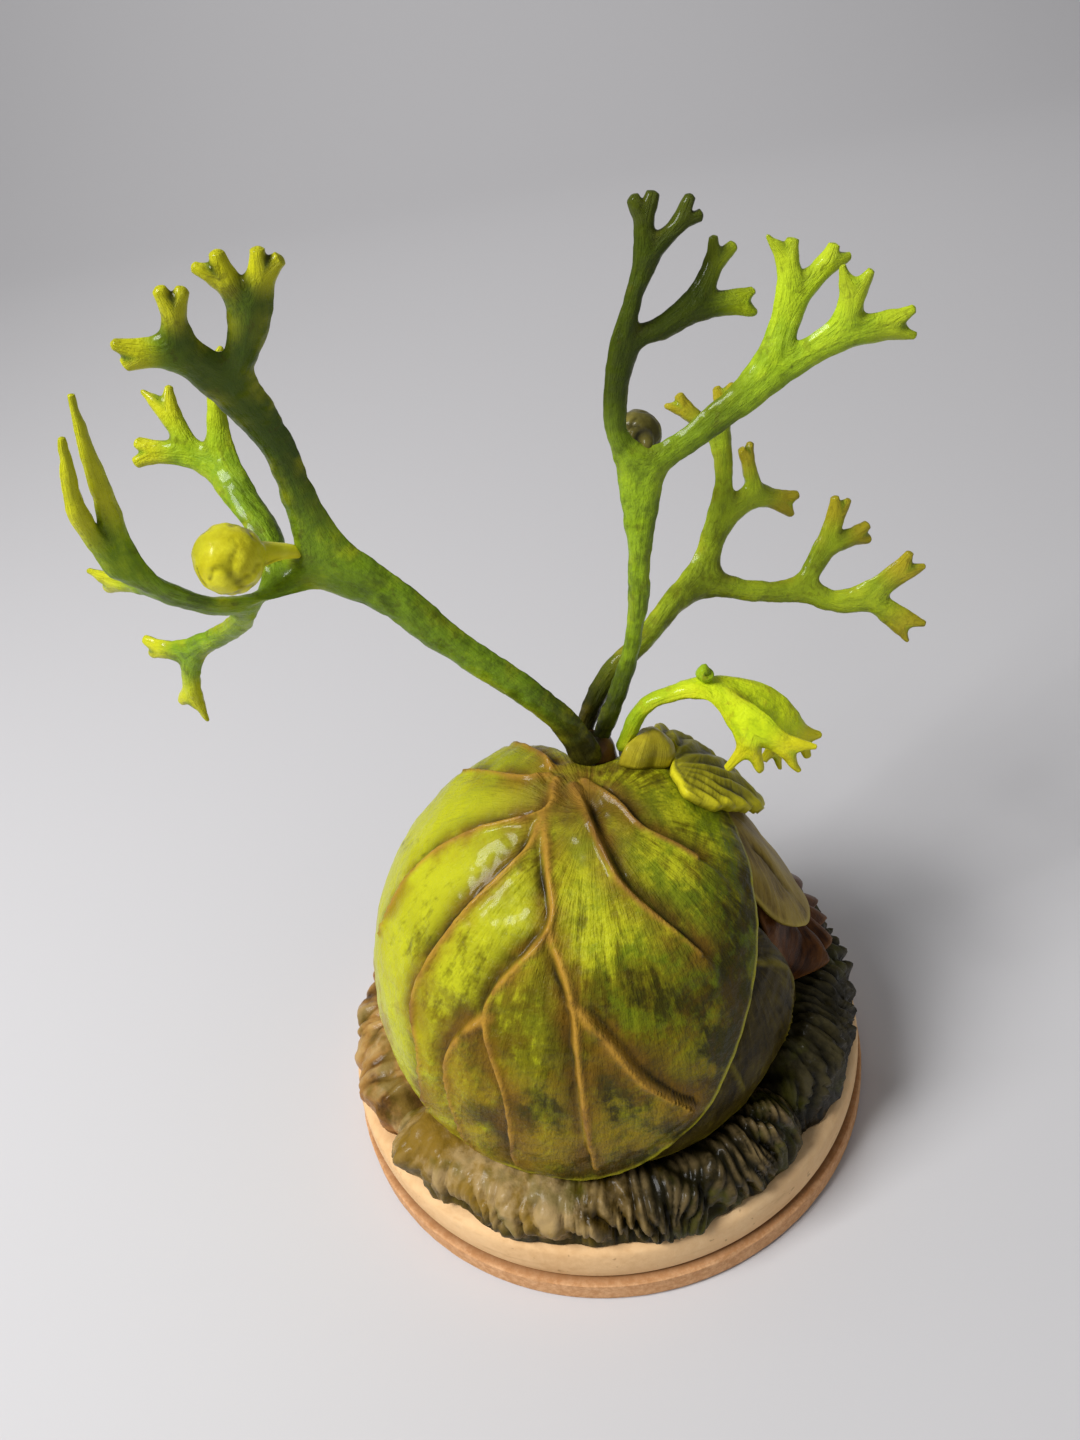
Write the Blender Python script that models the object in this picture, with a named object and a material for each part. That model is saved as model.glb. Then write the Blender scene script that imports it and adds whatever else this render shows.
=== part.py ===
"""Painted clay staghorn fern on a round wooden base.

Shield fronds lie in layers over a clay core, a rolled collar of old fronds rings its foot, and
four forked antler fronds stand on wires in a plug at the crown. Sizes are in millimetres.
The front is towards -Y, and the origin is the middle of the base's underside.
"""
import math

import bmesh
import bpy
from mathutils import Quaternion, Vector

MM = 0.001
CLEARANCE = 0.3

# Turned wooden base
BASE_RADIUS = 75.0
BASE_THICKNESS = 20.0
SAWN_BAND = 7.0
GROOVE_WIDTH = 1.4
GROOVE_DEPTH = 2.6
MOULDING_INSET = 1.2
MOULDING_BULGE = 1.0
EDGE_ROUND = 1.6
BASE_SIDES = 48

# Collar of old fronds, packed round the foot of the dome and piled higher on the right
COLLAR_MARGIN = 2.5
COLLAR_WIDTH = 27.5
COLLAR_FORWARD = 3.0
ROLL_HEIGHT = 15.5
RIGHT_SWELL = 13.0
SWELL_AZIMUTH = 72.0
SWELL_SPAN = 62.0
WRINKLE_DEPTH = 1.3
WRINKLE_STEP = 4.0
ROLL_SIDES = 9
SEAM_GAP = 0.5

# Clay core, a ball with a flat foot and a flat crown
DOME_FORWARD = 8.0
DOME_LIFT = 31.0
CORE_RISE = 54.0
CROWN_CUT = 7.0
CORE_SIDES = 28

# Plug at the crown that the stems stand on
CROWN_X = 9.0
CROWN_Y = 3.0
PLUG_RADIUS = 9.0
PLUG_HEIGHT = 18.0
PLUG_FLARE = 1.5

# Shield fronds, in layers over the core
LEAF_THICKNESS = 2.2
LEAF_EDGE = 1.0
LEAF_GAP = 0.7
EDGE_GAP = 0.8
EDGE_EASE = 9.0
VEIN_HEIGHT = 1.4
VEIN_HALF_WIDTH = 4.0
FOLD_HEIGHT = 4.5
FOLD_START = 82.0
FOLD_RISE = 16.0
DRY_FLARE = 5.0
RUST_FLARE = 11.0
BROWN_FLARE = 8.0
FRONT_EDGE = 60.0
OLIVE_EDGE = 70.0
COVER_EASE = 8.0
PLEAT_HEIGHT = 1.6
BUD_HEIGHT = 7.0

# Antler fronds and the wires inside their stems
FROND_SINK = 4.0
STEM_THICKNESS = 4.8
LIMB_THICKNESS = 3.6
TIP_WIDTH = 2.6
TIP_SPREAD = math.radians(28)
RING_STEP = 10.0
CROTCH = 0.9
NARROWEST_FORK = 0.3
FORK_SHARE = 0.6
FORK_FLARE = 1.3
WEB_LIFT = 0.36
WEB_SETBACK = 0.25
WEB_LENGTH = 0.3
WIRE_RADIUS = 0.9
WIRE_FIT = 0.35
WIRE_REACH = 3
SOCKET_DEPTH = 22.0

# Spore lobes in the forks
LEFT_LOBE_RADIUS = 6.7
RIGHT_LOBE_RADIUS = 5.6
YOUNG_LOBE_RADIUS = 1.8
STALK_RADIUS = 2.0
YOUNG_STALK_RADIUS = 1.3
LOBE_SIDES = 10

base_top = BASE_THICKNESS
collar_radius = BASE_RADIUS - MOULDING_INSET - COLLAR_MARGIN
core_radius = BASE_RADIUS - COLLAR_WIDTH
dome_centre = Vector((0, -DOME_FORWARD, base_top + DOME_LIFT))
core_flat = CORE_RISE - CROWN_CUT
core_top = dome_centre.z + core_flat
plug_bottom = core_top + CLEARANCE
crown = Vector((CROWN_X, CROWN_Y, plug_bottom + PLUG_HEIGHT))
frond_origin = crown - Vector((0, 0, FROND_SINK))
bore_radius = WIRE_RADIUS + WIRE_FIT


def layer(number):
    """Offset of a leaf layer's underside from the core's surface."""
    return LEAF_GAP + number * (LEAF_THICKNESS + LEAF_GAP)


top_layer = layer(3) + LEAF_THICKNESS + CLEARANCE


def limb(*points, forks=(), tips=0.0):
    """A stretch of frond: (x, y, z, width) points from its origin, then two forks or two tips."""
    return {"points": points, "forks": forks, "tips": tips}


LEFT_FROND = limb(
    (-1, -5, 4, 9.5), (-8, -7, 20, 8.5), (-28, -9, 45, 9.5), (-37, -10, 58, 11), (-49, -11, 70, 16),
    forks=(
        limb((-50, -15, 89, 7.5), (-51, -18, 100, 7.5), (-54, -25, 113, 11), forks=(
            limb((-49, -27, 119, 6.5), (-46, -29, 125, 9), forks=(
                limb((-49, -30, 131, 5), tips=2),
                limb((-41, -30, 131, 5), tips=2))),
            limb((-59, -30, 121, 8), forks=(
                limb((-57, -31, 129, 4.5), tips=1.5),
                limb((-66, -31, 122, 5.5), tips=1.5))))),
        limb((-59, -11, 68, 12), forks=(
            limb((-61, -1, 75, 8), (-65, 4, 80, 8), (-69, 11, 86, 10), forks=(
                limb((-75, 13, 89, 7.5), forks=(
                    limb((-82, 14, 90, 5.5), tips=2.5),
                    limb((-77, 16, 97, 5), tips=2.5))),
                limb((-67, 13, 95, 5), (-65, 16, 105, 4), tips=1.5))),
            limb((-66, -15, 65, 10.5), forks=(
                limb((-73, -19, 69, 7.5), (-80, -22, 76, 9.5), forks=(
                    limb((-83, -26, 84, 9), forks=(
                        limb((-87, -30, 92, 5.5), (-85, -32, 101, 4.5), tips=2.5),
                        limb((-80, -27, 93, 5), (-79, -29, 105, 4), (-78, -31, 116, 2)))),
                    limb((-89, -16, 76, 6), tips=2.5))),
                limb((-73, -6, 56, 6), (-84, 2, 49, 6), (-88, 5, 46, 8.5), forks=(
                    limb((-95, 9, 46, 5.5), tips=2),
                    limb((-92, 8, 36, 5.5), tips=3)))))))))

RIGHT_FROND = limb(
    (1, 1, 4, 6), (10, 1, 22, 5), (15, 3, 38, 5.5), (17, 4, 53, 8), (19, 5, 71, 12.5),
    forks=(
        limb((15, 5, 78, 5.5), (15, 5, 87, 6), (18, 5, 98, 8), forks=(
            limb((20, 5, 105, 4.5), (24, 5, 114, 6), forks=(
                limb((24, 5, 121, 4.5), tips=2.5),
                limb((31, 5, 119, 4), tips=2.5))),
            limb((25, 7, 99, 5.5), (34, 9, 102, 7.5), forks=(
                limb((38, 10, 109, 5), tips=2.5),
                limb((42, 10, 101, 6), tips=1.5))))),
        limb((24, 4, 73, 7), (37, 3, 81, 7.5), (47, 1, 89, 10), forks=(
            limb((49, 2, 96, 5), (52, 3, 102, 7.5), forks=(
                limb((51, 4, 109, 5), tips=2),
                limb((59, 4, 107, 5), tips=2))),
            limb((55, 0, 92, 7), (61, -1, 95, 9), forks=(
                limb((62, -2, 102, 5.5), tips=2.5),
                limb((69, -2, 95, 6.5), tips=2)))))))

REAR_FROND = limb(
    (-2, 6, 4, 6), (6, 7, 18, 6), (17, 10, 25, 7), (27, 17, 31, 8), (34, 21, 33, 12),
    forks=(
        limb((37, 23, 41, 7), (41, 25, 47, 9), forks=(
            limb((42, 27, 56, 5), (42, 29, 65, 6.5), forks=(
                limb((34, 30, 73, 4.5), tips=1.5),
                limb((43, 30, 73, 4.5), tips=1.5))),
            limb((49, 27, 50, 8), forks=(
                limb((48, 28, 59, 4), tips=1.5),
                limb((56, 29, 46, 6), tips=2.5))))),
        limb((42, 21, 28, 6), (55, 22, 24, 6.5), (60, 23, 24, 9), forks=(
            limb((67, 26, 33, 7), forks=(
                limb((70, 28, 40, 5), tips=1.5),
                limb((75, 28, 33, 5), tips=1.5))),
            limb((67, 21, 19, 6.5), (76, 19, 20, 9), forks=(
                limb((83, 18, 27, 6), tips=2.5),
                limb((84, 18, 11, 6.5), tips=2)))))))

YOUNG_FROND = limb(
    (7, -2, 4, 5), (14, -5, 17, 5), (22, -5, 19, 6), (29, -6, 20, 10),
    forks=(
        limb((33, -12, 17, 10), (36, -14, 9, 12), forks=(
            limb((34, -14, 1, 5.5), (34, -14, -4, 3)),
            limb((42, -16, 2, 5), (44, -16, -2, 3)))),
        limb((37, -3, 19, 8), (44, -1, 14, 9), (50, 0, 6, 10), forks=(
            limb((48, -1, -1, 5), (48, -1, -8, 3)),
            limb((56, 1, -1, 6), tips=2)))))

# Veins of the front shield: (azimuth, polar angle) in degrees, from the crown outwards
VEINS = (
    ((-150, 4), (-158, 8), (-155, 24)),
    ((-100, 3), (-101, 10), (-126, 29)),
    ((-40, 2), (-27, 12), (-67, 23), (-79, 38), (-80, 60)),
    ((-26, 13), (-32, 24), (-53, 51), (-55, 63), (-51, 73), (-52, 92)),
    ((-26, 13), (-15, 26), (-14, 38), (-30, 52), (-31, 60), (-26, 75), (-27, 96)),
    ((-31, 57), (-38, 63), (-42, 73), (-39, 99)),
    ((-14, 38), (-8, 52), (-8, 65), (-8, 94)),
    ((-8, 56), (0, 62), (6, 71), (16, 80)),
    ((30, 5), (15, 23), (18, 34), (30, 51)),
    ((60, 6), (46, 16), (42, 24), (50, 36)),
)


def finish(name, colour, roughness, metallic=0.0):
    """Plain paint, wood or wire for one piece."""
    material = bpy.data.materials.new(name)
    material.use_nodes = True
    shader = material.node_tree.nodes["Principled BSDF"]
    shader.inputs["Base Color"].default_value = (*colour, 1.0)
    shader.inputs["Roughness"].default_value = roughness
    shader.inputs["Metallic"].default_value = metallic
    return material


def piece(name, points, faces, material):
    """One closed solid from points in millimetres."""
    mesh = bpy.data.meshes.new(name)
    mesh.from_pydata([Vector(point) * MM for point in points], [], faces)
    shape = bmesh.new()
    shape.from_mesh(mesh)
    bmesh.ops.recalc_face_normals(shape, faces=shape.faces)
    shape.to_mesh(mesh)
    shape.free()
    mesh.shade_smooth()
    mesh.set_sharp_from_angle(angle=math.radians(50))
    mesh.materials.append(material)
    made = bpy.data.objects.new(name, mesh)
    bpy.context.scene.collection.objects.link(made)
    made.parent = fern
    return made


def skin(first, second):
    """Quads between two rings of point numbers."""
    count = len(first)
    return [(first[k], first[(k + 1) % count], second[(k + 1) % count], second[k]) for k in range(count)]


def loft(name, rings, material):
    """A solid skinned over rings of points, with flat ends."""
    sides = len(rings[0])
    points = [point for ring in rings for point in ring]
    numbers = [list(range(k * sides, (k + 1) * sides)) for k in range(len(rings))]
    faces = [face for a, b in zip(numbers, numbers[1:]) for face in skin(a, b)]
    return piece(name, points, faces + [numbers[0][::-1], numbers[-1]], material)


def circle(centre, radius, sides):
    """Level ring of points."""
    turns = [math.tau * k / sides for k in range(sides)]
    return [Vector(centre) + Vector((radius * math.cos(a), radius * math.sin(a), 0)) for a in turns]


def turned(name, centre, profile, sides, material):
    """A turned solid from (radius, height) steps."""
    rings = [circle((centre.x, centre.y, z), radius, sides) for radius, z in profile]
    return loft(name, rings, material)


def wooden_base():
    upper = BASE_RADIUS - MOULDING_INSET
    groove_top = SAWN_BAND + GROOVE_WIDTH
    band = base_top - groove_top
    profile = [(BASE_RADIUS - EDGE_ROUND / 2, 0), (BASE_RADIUS, EDGE_ROUND / 2), (BASE_RADIUS, SAWN_BAND),
               (BASE_RADIUS - GROOVE_DEPTH, SAWN_BAND), (BASE_RADIUS - GROOVE_DEPTH, groove_top)]
    for step in range(5):
        share = step / 4
        swell = MOULDING_BULGE * math.sin(math.pi * share)
        profile.append((upper - MOULDING_BULGE + swell, groove_top + share * (band - EDGE_ROUND)))
    profile.append((upper - MOULDING_BULGE - EDGE_ROUND, base_top))
    material = finish("pale_wood", (0.60, 0.36, 0.17), 0.55)
    return turned("wooden_base", Vector((0, 0, 0)), profile, BASE_SIDES, material)


def collar_height(azimuth):
    """Height of the collar at an azimuth in degrees from the front."""
    away = abs((azimuth - SWELL_AZIMUTH + 180) % 360 - 180) / SWELL_SPAN
    return ROLL_HEIGHT + RIGHT_SWELL * max(0.0, 1 - away * away) ** 2


def collar_section(azimuth, depth):
    """Cross-section of the roll from the core's side to the rim, wrinkled by depth."""
    turn = math.radians(azimuth)
    outward = Vector((math.sin(turn), -math.cos(turn), 0))
    shift = DOME_FORWARD - COLLAR_FORWARD
    core_side = core_radius + CLEARANCE
    inner = shift * math.cos(turn) + math.sqrt(core_side ** 2 - (shift * math.sin(turn)) ** 2)
    foot = Vector((0, -COLLAR_FORWARD, base_top + CLEARANCE))
    half_width = (collar_radius - inner) / 2
    height = collar_height(azimuth) - depth
    ring = []
    for k in range(ROLL_SIDES):
        a = math.tau * k / ROLL_SIDES
        rise = 0.5 + (0.5 if math.sin(a) > 0 else 0.8) * math.sin(a)
        reach = inner + half_width + (half_width - depth) * math.cos(a)
        ring.append(foot + outward * reach + Vector((0, 0, height * max(0.0, rise))))
    return ring


def collar_piece(name, start, end, wrinkle, colour, roughness):
    """Stretch of the collar between two azimuths, with ridges and valleys across it."""
    seam = math.degrees(SEAM_GAP / (core_radius - DOME_FORWARD))
    steps = max(2, round((end - start) / WRINKLE_STEP))
    rings = []
    for k in range(steps + 1):
        azimuth = start + (end - start - seam) * k / steps
        depth = WRINKLE_DEPTH * wrinkle * (0.3 * (k % 3) + 0.7 * (k % 2))
        rings.append(collar_section(azimuth, depth))
    return loft(name, rings, finish(name + "_paint", colour, roughness))


def drill(target, x, y, bottom, depth, radius):
    """Blind or through hole straight down, cut by a hidden cylinder."""
    rings = [circle((x, y, bottom), radius, 12), circle((x, y, bottom + depth), radius, 12)]
    cutter = loft(target.name + "_drill", rings, target.data.materials[0])
    cutter.hide_render = True
    cutter.display_type = "WIRE"
    cut = target.modifiers.new("hole", "BOOLEAN")
    cut.operation = "DIFFERENCE"
    cut.object = cutter


def stem_feet():
    """Where the four stems stand, in plan."""
    fronds = (LEFT_FROND, RIGHT_FROND, REAR_FROND, YOUNG_FROND)
    return [(crown.x + frond["points"][0][0], crown.y + frond["points"][0][1]) for frond in fronds]


def clay_core():
    """Ball cut flat at foot and crown."""
    low = -(DOME_LIFT - CLEARANCE) / CORE_RISE
    high = core_flat / CORE_RISE
    steps = 9
    profile = []
    for k in range(steps + 1):
        polar = math.acos(low) + (math.acos(high) - math.acos(low)) * k / steps
        profile.append((core_radius * math.sin(polar), dome_centre.z + CORE_RISE * math.cos(polar)))
    core = turned("clay_core", dome_centre, profile, CORE_SIDES, finish("raw_clay", (0.20, 0.13, 0.08), 0.9))
    for x, y in stem_feet():
        drill(core, x, y, core_top - SOCKET_DEPTH, SOCKET_DEPTH + PLUG_HEIGHT, bore_radius)


def crown_plug():
    """Lump of clay under the stems."""
    profile = [(PLUG_RADIUS, plug_bottom), (PLUG_RADIUS, crown.z - PLUG_FLARE),
               (PLUG_RADIUS - PLUG_FLARE, crown.z)]
    plug = turned("crown_plug", crown, profile, 24, finish("crown_clay", (0.09, 0.06, 0.03), 0.6))
    for x, y in stem_feet():
        drill(plug, x, y, core_top - PLUG_HEIGHT, 3 * PLUG_HEIGHT, bore_radius)


def dome_direction(azimuth, polar):
    """Unit direction at angles in degrees: azimuth from the front to the right, polar from the top."""
    a, p = math.radians(azimuth), math.radians(polar)
    return Vector((math.sin(p) * math.sin(a), -math.sin(p) * math.cos(a), math.cos(p)))


def dome_point(direction, offset):
    """Point that lies an offset outside the core's ball."""
    wide = core_radius + offset
    return dome_centre + Vector((wide * direction.x, wide * direction.y, (CORE_RISE + offset) * direction.z))


def smooth_round(pairs, angle):
    """Value at an angle from (angle, value) pairs that close on themselves, eased between them."""
    ordered = sorted(pairs)
    ordered = [(ordered[-1][0] - 360, ordered[-1][1])] + ordered + [(ordered[0][0] + 360, ordered[0][1])]
    for (a, low), (b, high) in zip(ordered, ordered[1:]):
        if a <= angle <= b:
            share = (angle - a) / (b - a)
            return low + (high - low) * share * share * (3 - 2 * share)
    return ordered[0][1]


def blocked(point):
    """True where a leaf would run into the plug or the collar."""
    beside = Vector((point.x - crown.x, point.y - crown.y)).length
    azimuth = math.degrees(math.atan2(point.x, -point.y - COLLAR_FORWARD))
    collar_top = base_top + CLEARANCE + collar_height(azimuth)
    return beside < PLUG_RADIUS + EDGE_GAP or point.z < collar_top + EDGE_GAP


def flat(angle, share, direction):
    """No relief and no lift."""
    return 0.0


def uncovered(direction, edge):
    """0 up to the azimuth where the edge of a leaf on top lies, easing to 1 beyond it."""
    azimuth = math.degrees(math.atan2(direction.x, -direction.y))
    return min(1.0, max(0.0, (azimuth - edge) / COVER_EASE))


def flare(height, start, end, edge):
    """Lift of a leaf that leaves the dome between two polar angles, beyond the edge of a leaf on top."""
    def stand_off(angle, share, direction):
        below = (math.degrees(math.acos(direction.z)) - start) / (end - start)
        return height * uncovered(direction, edge) * min(1.0, max(0.0, below)) ** 2
    return stand_off


def leaf(name, hub, outline, inner, relief, spokes, rings, colour, under_step=1, lift=flat):
    """A leaf moulded on the dome: rings of points round a hub, out to its outline."""
    middle = dome_direction(*hub)
    down = dome_direction(hub[0], hub[1] + 90)
    side = dome_direction(hub[0] + 90, 90)
    under = inner + lift(0, 0, middle)
    points = [dome_point(middle, under + LEAF_THICKNESS + relief(0, 0, middle)), dome_point(middle, under)]
    upper, lower = [], []
    reaches, spokes_out = [], []
    for k in range(spokes):
        angle = -180 + 360 * k / spokes
        turn = math.radians(angle)
        along = down * math.cos(turn) + side * math.sin(turn)
        reach = math.radians(smooth_round(outline, angle))
        step = math.radians(0.5)
        arc = step
        while arc < reach:
            direction = middle * math.cos(arc) + along * math.sin(arc)
            under = inner + lift(angle, arc / reach, direction)
            if any(blocked(dome_point(direction, under + body)) for body in (0, LEAF_THICKNESS)):
                break
            arc += step
        reaches.append(min(arc, reach))
        spokes_out.append((angle, along))
    around = list(range(spokes)) * 2
    for k in around + around[::-1]:
        nearest = min(reaches[k - 1], reaches[(k + 1) % spokes])
        reaches[k] = min(reaches[k], nearest + math.radians(EDGE_EASE))
    for ring in range(1, rings + 1):
        share = ring / rings
        body = LEAF_EDGE + (LEAF_THICKNESS - LEAF_EDGE) * (1 - share ** 4)
        upper.append([])
        for (angle, along), reach in zip(spokes_out, reaches):
            direction = middle * math.cos(reach * share) + along * math.sin(reach * share)
            upper[-1].append(len(points))
            under = inner + lift(angle, share, direction)
            points.append(dome_point(direction, under + body + relief(angle, share, direction)))
        if ring % under_step:
            continue
        lower.append([])
        for (angle, along), reach in zip(spokes_out, reaches):
            direction = middle * math.cos(reach * share) + along * math.sin(reach * share)
            lower[-1].append(len(points))
            points.append(dome_point(direction, inner + lift(angle, share, direction)))
    faces = []
    for k in range(spokes):
        after = (k + 1) % spokes
        faces += [(0, upper[0][k], upper[0][after]), (1, lower[0][after], lower[0][k])]
    for sheet in (upper, lower):
        for a, b in zip(sheet, sheet[1:]):
            faces += skin(a, b)
    faces += skin(upper[-1], lower[-1])
    return piece(name, points, faces, finish(name + "_paint", colour, 0.35))


def vein_points():
    """Points along the veins, on the unit ball, close enough together to measure from."""
    found = []
    for vein in VEINS:
        corners = [dome_direction(*corner) for corner in vein]
        for a, b in zip(corners, corners[1:]):
            pieces = max(2, round((a - b).length * core_radius / 2))
            found += [a.lerp(b, k / pieces).normalized() for k in range(pieces + 1)]
    return found


def vein_relief(points):
    """Ridge over the veins that fades to the leaf's edge."""
    reach = VEIN_HALF_WIDTH / (core_radius + layer(3))

    def relief(angle, share, direction):
        near = min((direction - point).length for point in points) / reach
        ridge = max(0.0, 1 - near * near) ** 2
        return VEIN_HEIGHT * ridge * min(1.0, 4 * (1 - share))
    return relief


def pleats(count, height):
    """Radial pleats that deepen towards the edge."""
    def relief(angle, share, direction):
        wave = 0.5 + 0.5 * math.cos(math.radians(angle) * count)
        return height * wave * share * share
    return relief


def folds(count, edge):
    """Folds down a dead frond, below the edge of the dry shield."""
    def relief(angle, share, direction):
        wave = 0.5 + 0.5 * math.cos(math.radians(angle) * count)
        below = math.degrees(math.acos(direction.z)) - FOLD_START
        return FOLD_HEIGHT * wave * uncovered(direction, edge) * min(1.0, max(0.0, below / FOLD_RISE))
    return relief


def bud_crown(angle, share, direction):
    """Egg-shaped top."""
    return (BUD_HEIGHT - LEAF_THICKNESS) * math.sqrt(max(0.0, 1 - share * share))


def shields():
    """Every leaf, from the innermost layer to the outermost."""
    back = ((-180, 34), (-120, 56), (-70, 88), (-45, 90), (0, 66), (45, 90), (70, 88), (120, 56))
    leaf("back_shield", (175, 48), back,
         layer(0), flat, 30, 8, (0.16, 0.20, 0.03))
    leaf("left_shield", (-125, 40), ((-180, 25), (-120, 34), (-60, 56), (0, 68), (60, 56), (120, 36)),
         layer(1), flat, 26, 6, (0.18, 0.22, 0.03))
    olive = ((-180, 26), (-120, 28), (-67, 46), (-42, 60), (-16, 52), (8, 50), (34, 47), (47, 27), (71, 14),
             (100, 11), (140, 16))
    leaf("olive_shield", (42, 55), olive,
         layer(2), flat, 26, 6, (0.17, 0.15, 0.03))
    leaf("rust_dead_frond", (92, 74), ((-180, 18), (-90, 30), (-45, 34), (0, 38), (45, 25), (90, 18)),
         layer(1), folds(9, OLIVE_EDGE), 28, 5, (0.20, 0.07, 0.02),
         lift=flare(RUST_FLARE, 72, 93, OLIVE_EDGE))
    leaf("brown_dead_frond", (138, 74), ((-180, 18), (-90, 19), (-45, 27), (0, 40), (45, 30), (90, 24)),
         layer(1), folds(7, OLIVE_EDGE), 24, 5, (0.12, 0.06, 0.03),
         lift=flare(BROWN_FLARE, 76, 95, OLIVE_EDGE))
    dry = ((-180, 20), (-113, 17), (-80, 24), (-55, 32), (-45, 35), (-19, 40), (0, 38), (25, 36), (55, 34),
           (110, 24))
    leaf("dry_shield", (95, 42), dry,
         layer(2), flat, 26, 6, (0.45, 0.30, 0.12), lift=flare(DRY_FLARE, 62, 81, FRONT_EDGE))
    front = ((-167, 66), (-140, 96), (-116, 113), (-91, 108), (-76, 105), (-57, 100), (-43, 94), (-27, 89),
             (-14, 82), (-2, 74), (12, 62), (31, 50), (54, 42), (74, 39), (107, 40), (139, 35), (167, 37),
             (176, 46))
    leaf("front_shield", (20, 14), front, layer(3), vein_relief(vein_points()), 52, 16, (0.30, 0.34, 0.03),
         under_step=2)
    fan = ((-180, 4), (-161, 9), (-141, 17), (-130, 20), (-118, 20), (-95, 18), (-59, 17), (-11, 21),
           (10, 17), (52, 13), (89, 15), (110, 14), (140, 6))
    leaf("fan_leaf", (110, 38), fan, top_layer, pleats(12, PLEAT_HEIGHT), 36, 4, (0.28, 0.27, 0.03))
    leaf("shield_bud", (109, 21.5), ((-180, 6), (-90, 4.2), (0, 6.5), (90, 4.2)), top_layer, bud_crown, 14,
         4, (0.42, 0.30, 0.04))


class FrondMesh:
    """Points and faces of one forked frond, grown from its foot."""

    def __init__(self):
        self.points = []
        self.faces = []
        self.crotches = []
        self.tops = []

    def add(self, point):
        self.points.append(point)
        return len(self.points) - 1

    def ring(self, centre, across, through, half_width, half_depth):
        turns = [math.tau * k / 8 for k in range(8)]
        return [self.add(centre + across * (half_width * math.cos(a)) + through * (half_depth * math.sin(a)))
                for a in turns]


def smooth_path(places):
    """(point, width) stations on a curve through the places, about a ring step apart."""
    points = [Vector(place[:3]) for place in places]
    stations = [(points[0], places[0][3])]
    for k in range(len(points) - 1):
        a, b = points[k], points[k + 1]
        before = points[k - 1] if k else a - (b - a)
        after = points[k + 2] if k + 2 < len(points) else b + (b - a)
        pieces = max(1, round((b - a).length / RING_STEP))
        for step in range(1, pieces + 1):
            t = step / pieces
            spot = 0.5 * (2 * a + (b - before) * t + (2 * before - 5 * a + 4 * b - after) * t ** 2
                          + (3 * a - before - 3 * b + after) * t ** 3)
            stations.append((spot, places[k][3] + (places[k + 1][3] - places[k][3]) * t))
    return stations


def tip_limbs(end, heading, across, width, length):
    """Two short pointed tips at the end of a limb."""
    made = []
    for sign in (1, -1):
        way = heading * math.cos(TIP_SPREAD) + across * (sign * math.sin(TIP_SPREAD))
        place = end + way * (length + width / 2)
        made.append(limb((*place, TIP_WIDTH)))
    return made


def grow(mesh, stretch, ring, origin, width, across, skip, depth):
    """Skin one limb onto a ring, then fork or close it; returns the stations of the limb."""
    path = smooth_path([(*origin, width), *stretch["points"]])
    spots = [spot for spot, _ in path]
    last = len(spots) - 1
    headings = [(spots[min(k + 1, last)] - spots[max(k - 1, 0)]).normalized() for k in range(last + 1)]
    axes = []
    for heading in headings:
        across = (across - heading * across.dot(heading)).normalized()
        axes.append(across)
    end, heading = spots[-1], headings[-1]
    forks = list(stretch["forks"])
    if stretch["tips"]:
        forks = tip_limbs(end, heading, axes[-1], path[-1][1], stretch["tips"])
    turn = 0.0
    if forks:
        ways = [(Vector(fork["points"][0][:3]) - end).normalized() for fork in forks]
        apart = ways[0] - ways[1]
        apart = (apart - heading * apart.dot(heading)).normalized()
        if apart.dot(axes[-1]) < 0:
            apart = -apart
            forks.reverse()
            ways.reverse()
        turn = math.atan2(heading.dot(axes[-1].cross(apart)), axes[-1].dot(apart))
    stations = []
    for k in range(1, len(path)):
        if (spots[k] - origin).length < skip and k < last:
            continue
        axis = Quaternion(headings[k], turn * k / last) @ axes[k]
        through = headings[k].cross(axis)
        half_width = path[k][1] / 2
        half_depth = min(depth / 2, half_width)
        after = mesh.ring(spots[k], axis, through, half_width, half_depth)
        mesh.faces += skin(ring, after)
        ring = after
        stations.append((spots[k], axis, through))
    if not forks:
        mesh.faces.append(tuple(ring))
        return stations
    axis, through = stations[-1][1:]
    half_angle = max(NARROWEST_FORK, ways[0].angle(ways[1]) / 2)
    between = (ways[0] + ways[1]).normalized()
    start_widths = [min(path[-1][1] * FORK_SHARE, fork["points"][0][3] * FORK_FLARE) for fork in forks]
    reach = CROTCH * max(start_widths) / 2 / math.sin(half_angle)
    crotch = end + between * reach
    mesh.crotches.append((crotch, between))
    upward = through if through.z > 0 else -through
    mesh.tops.append((end + upward * (min(depth, path[-1][1]) / 2), upward))
    lift = through * (min(depth, path[-1][1]) * WEB_LIFT)
    web = crotch - between * (WEB_SETBACK * reach)
    front, middle, back = mesh.add(web + lift), mesh.add(crotch), mesh.add(web - lift)
    limb_rings = ((ring[0], ring[1], ring[2], front, middle, back, ring[6], ring[7]),
                  (middle, front, ring[2], ring[3], ring[4], ring[5], ring[6], back))
    for fork, limb_ring, start_width in zip(forks, limb_rings, start_widths):
        gap = start_width / 2 / math.tan(half_angle) + WEB_LENGTH * start_width
        grow(mesh, fork, limb_ring, end, start_width, axis, gap, LIMB_THICKNESS)
    return stations


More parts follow.
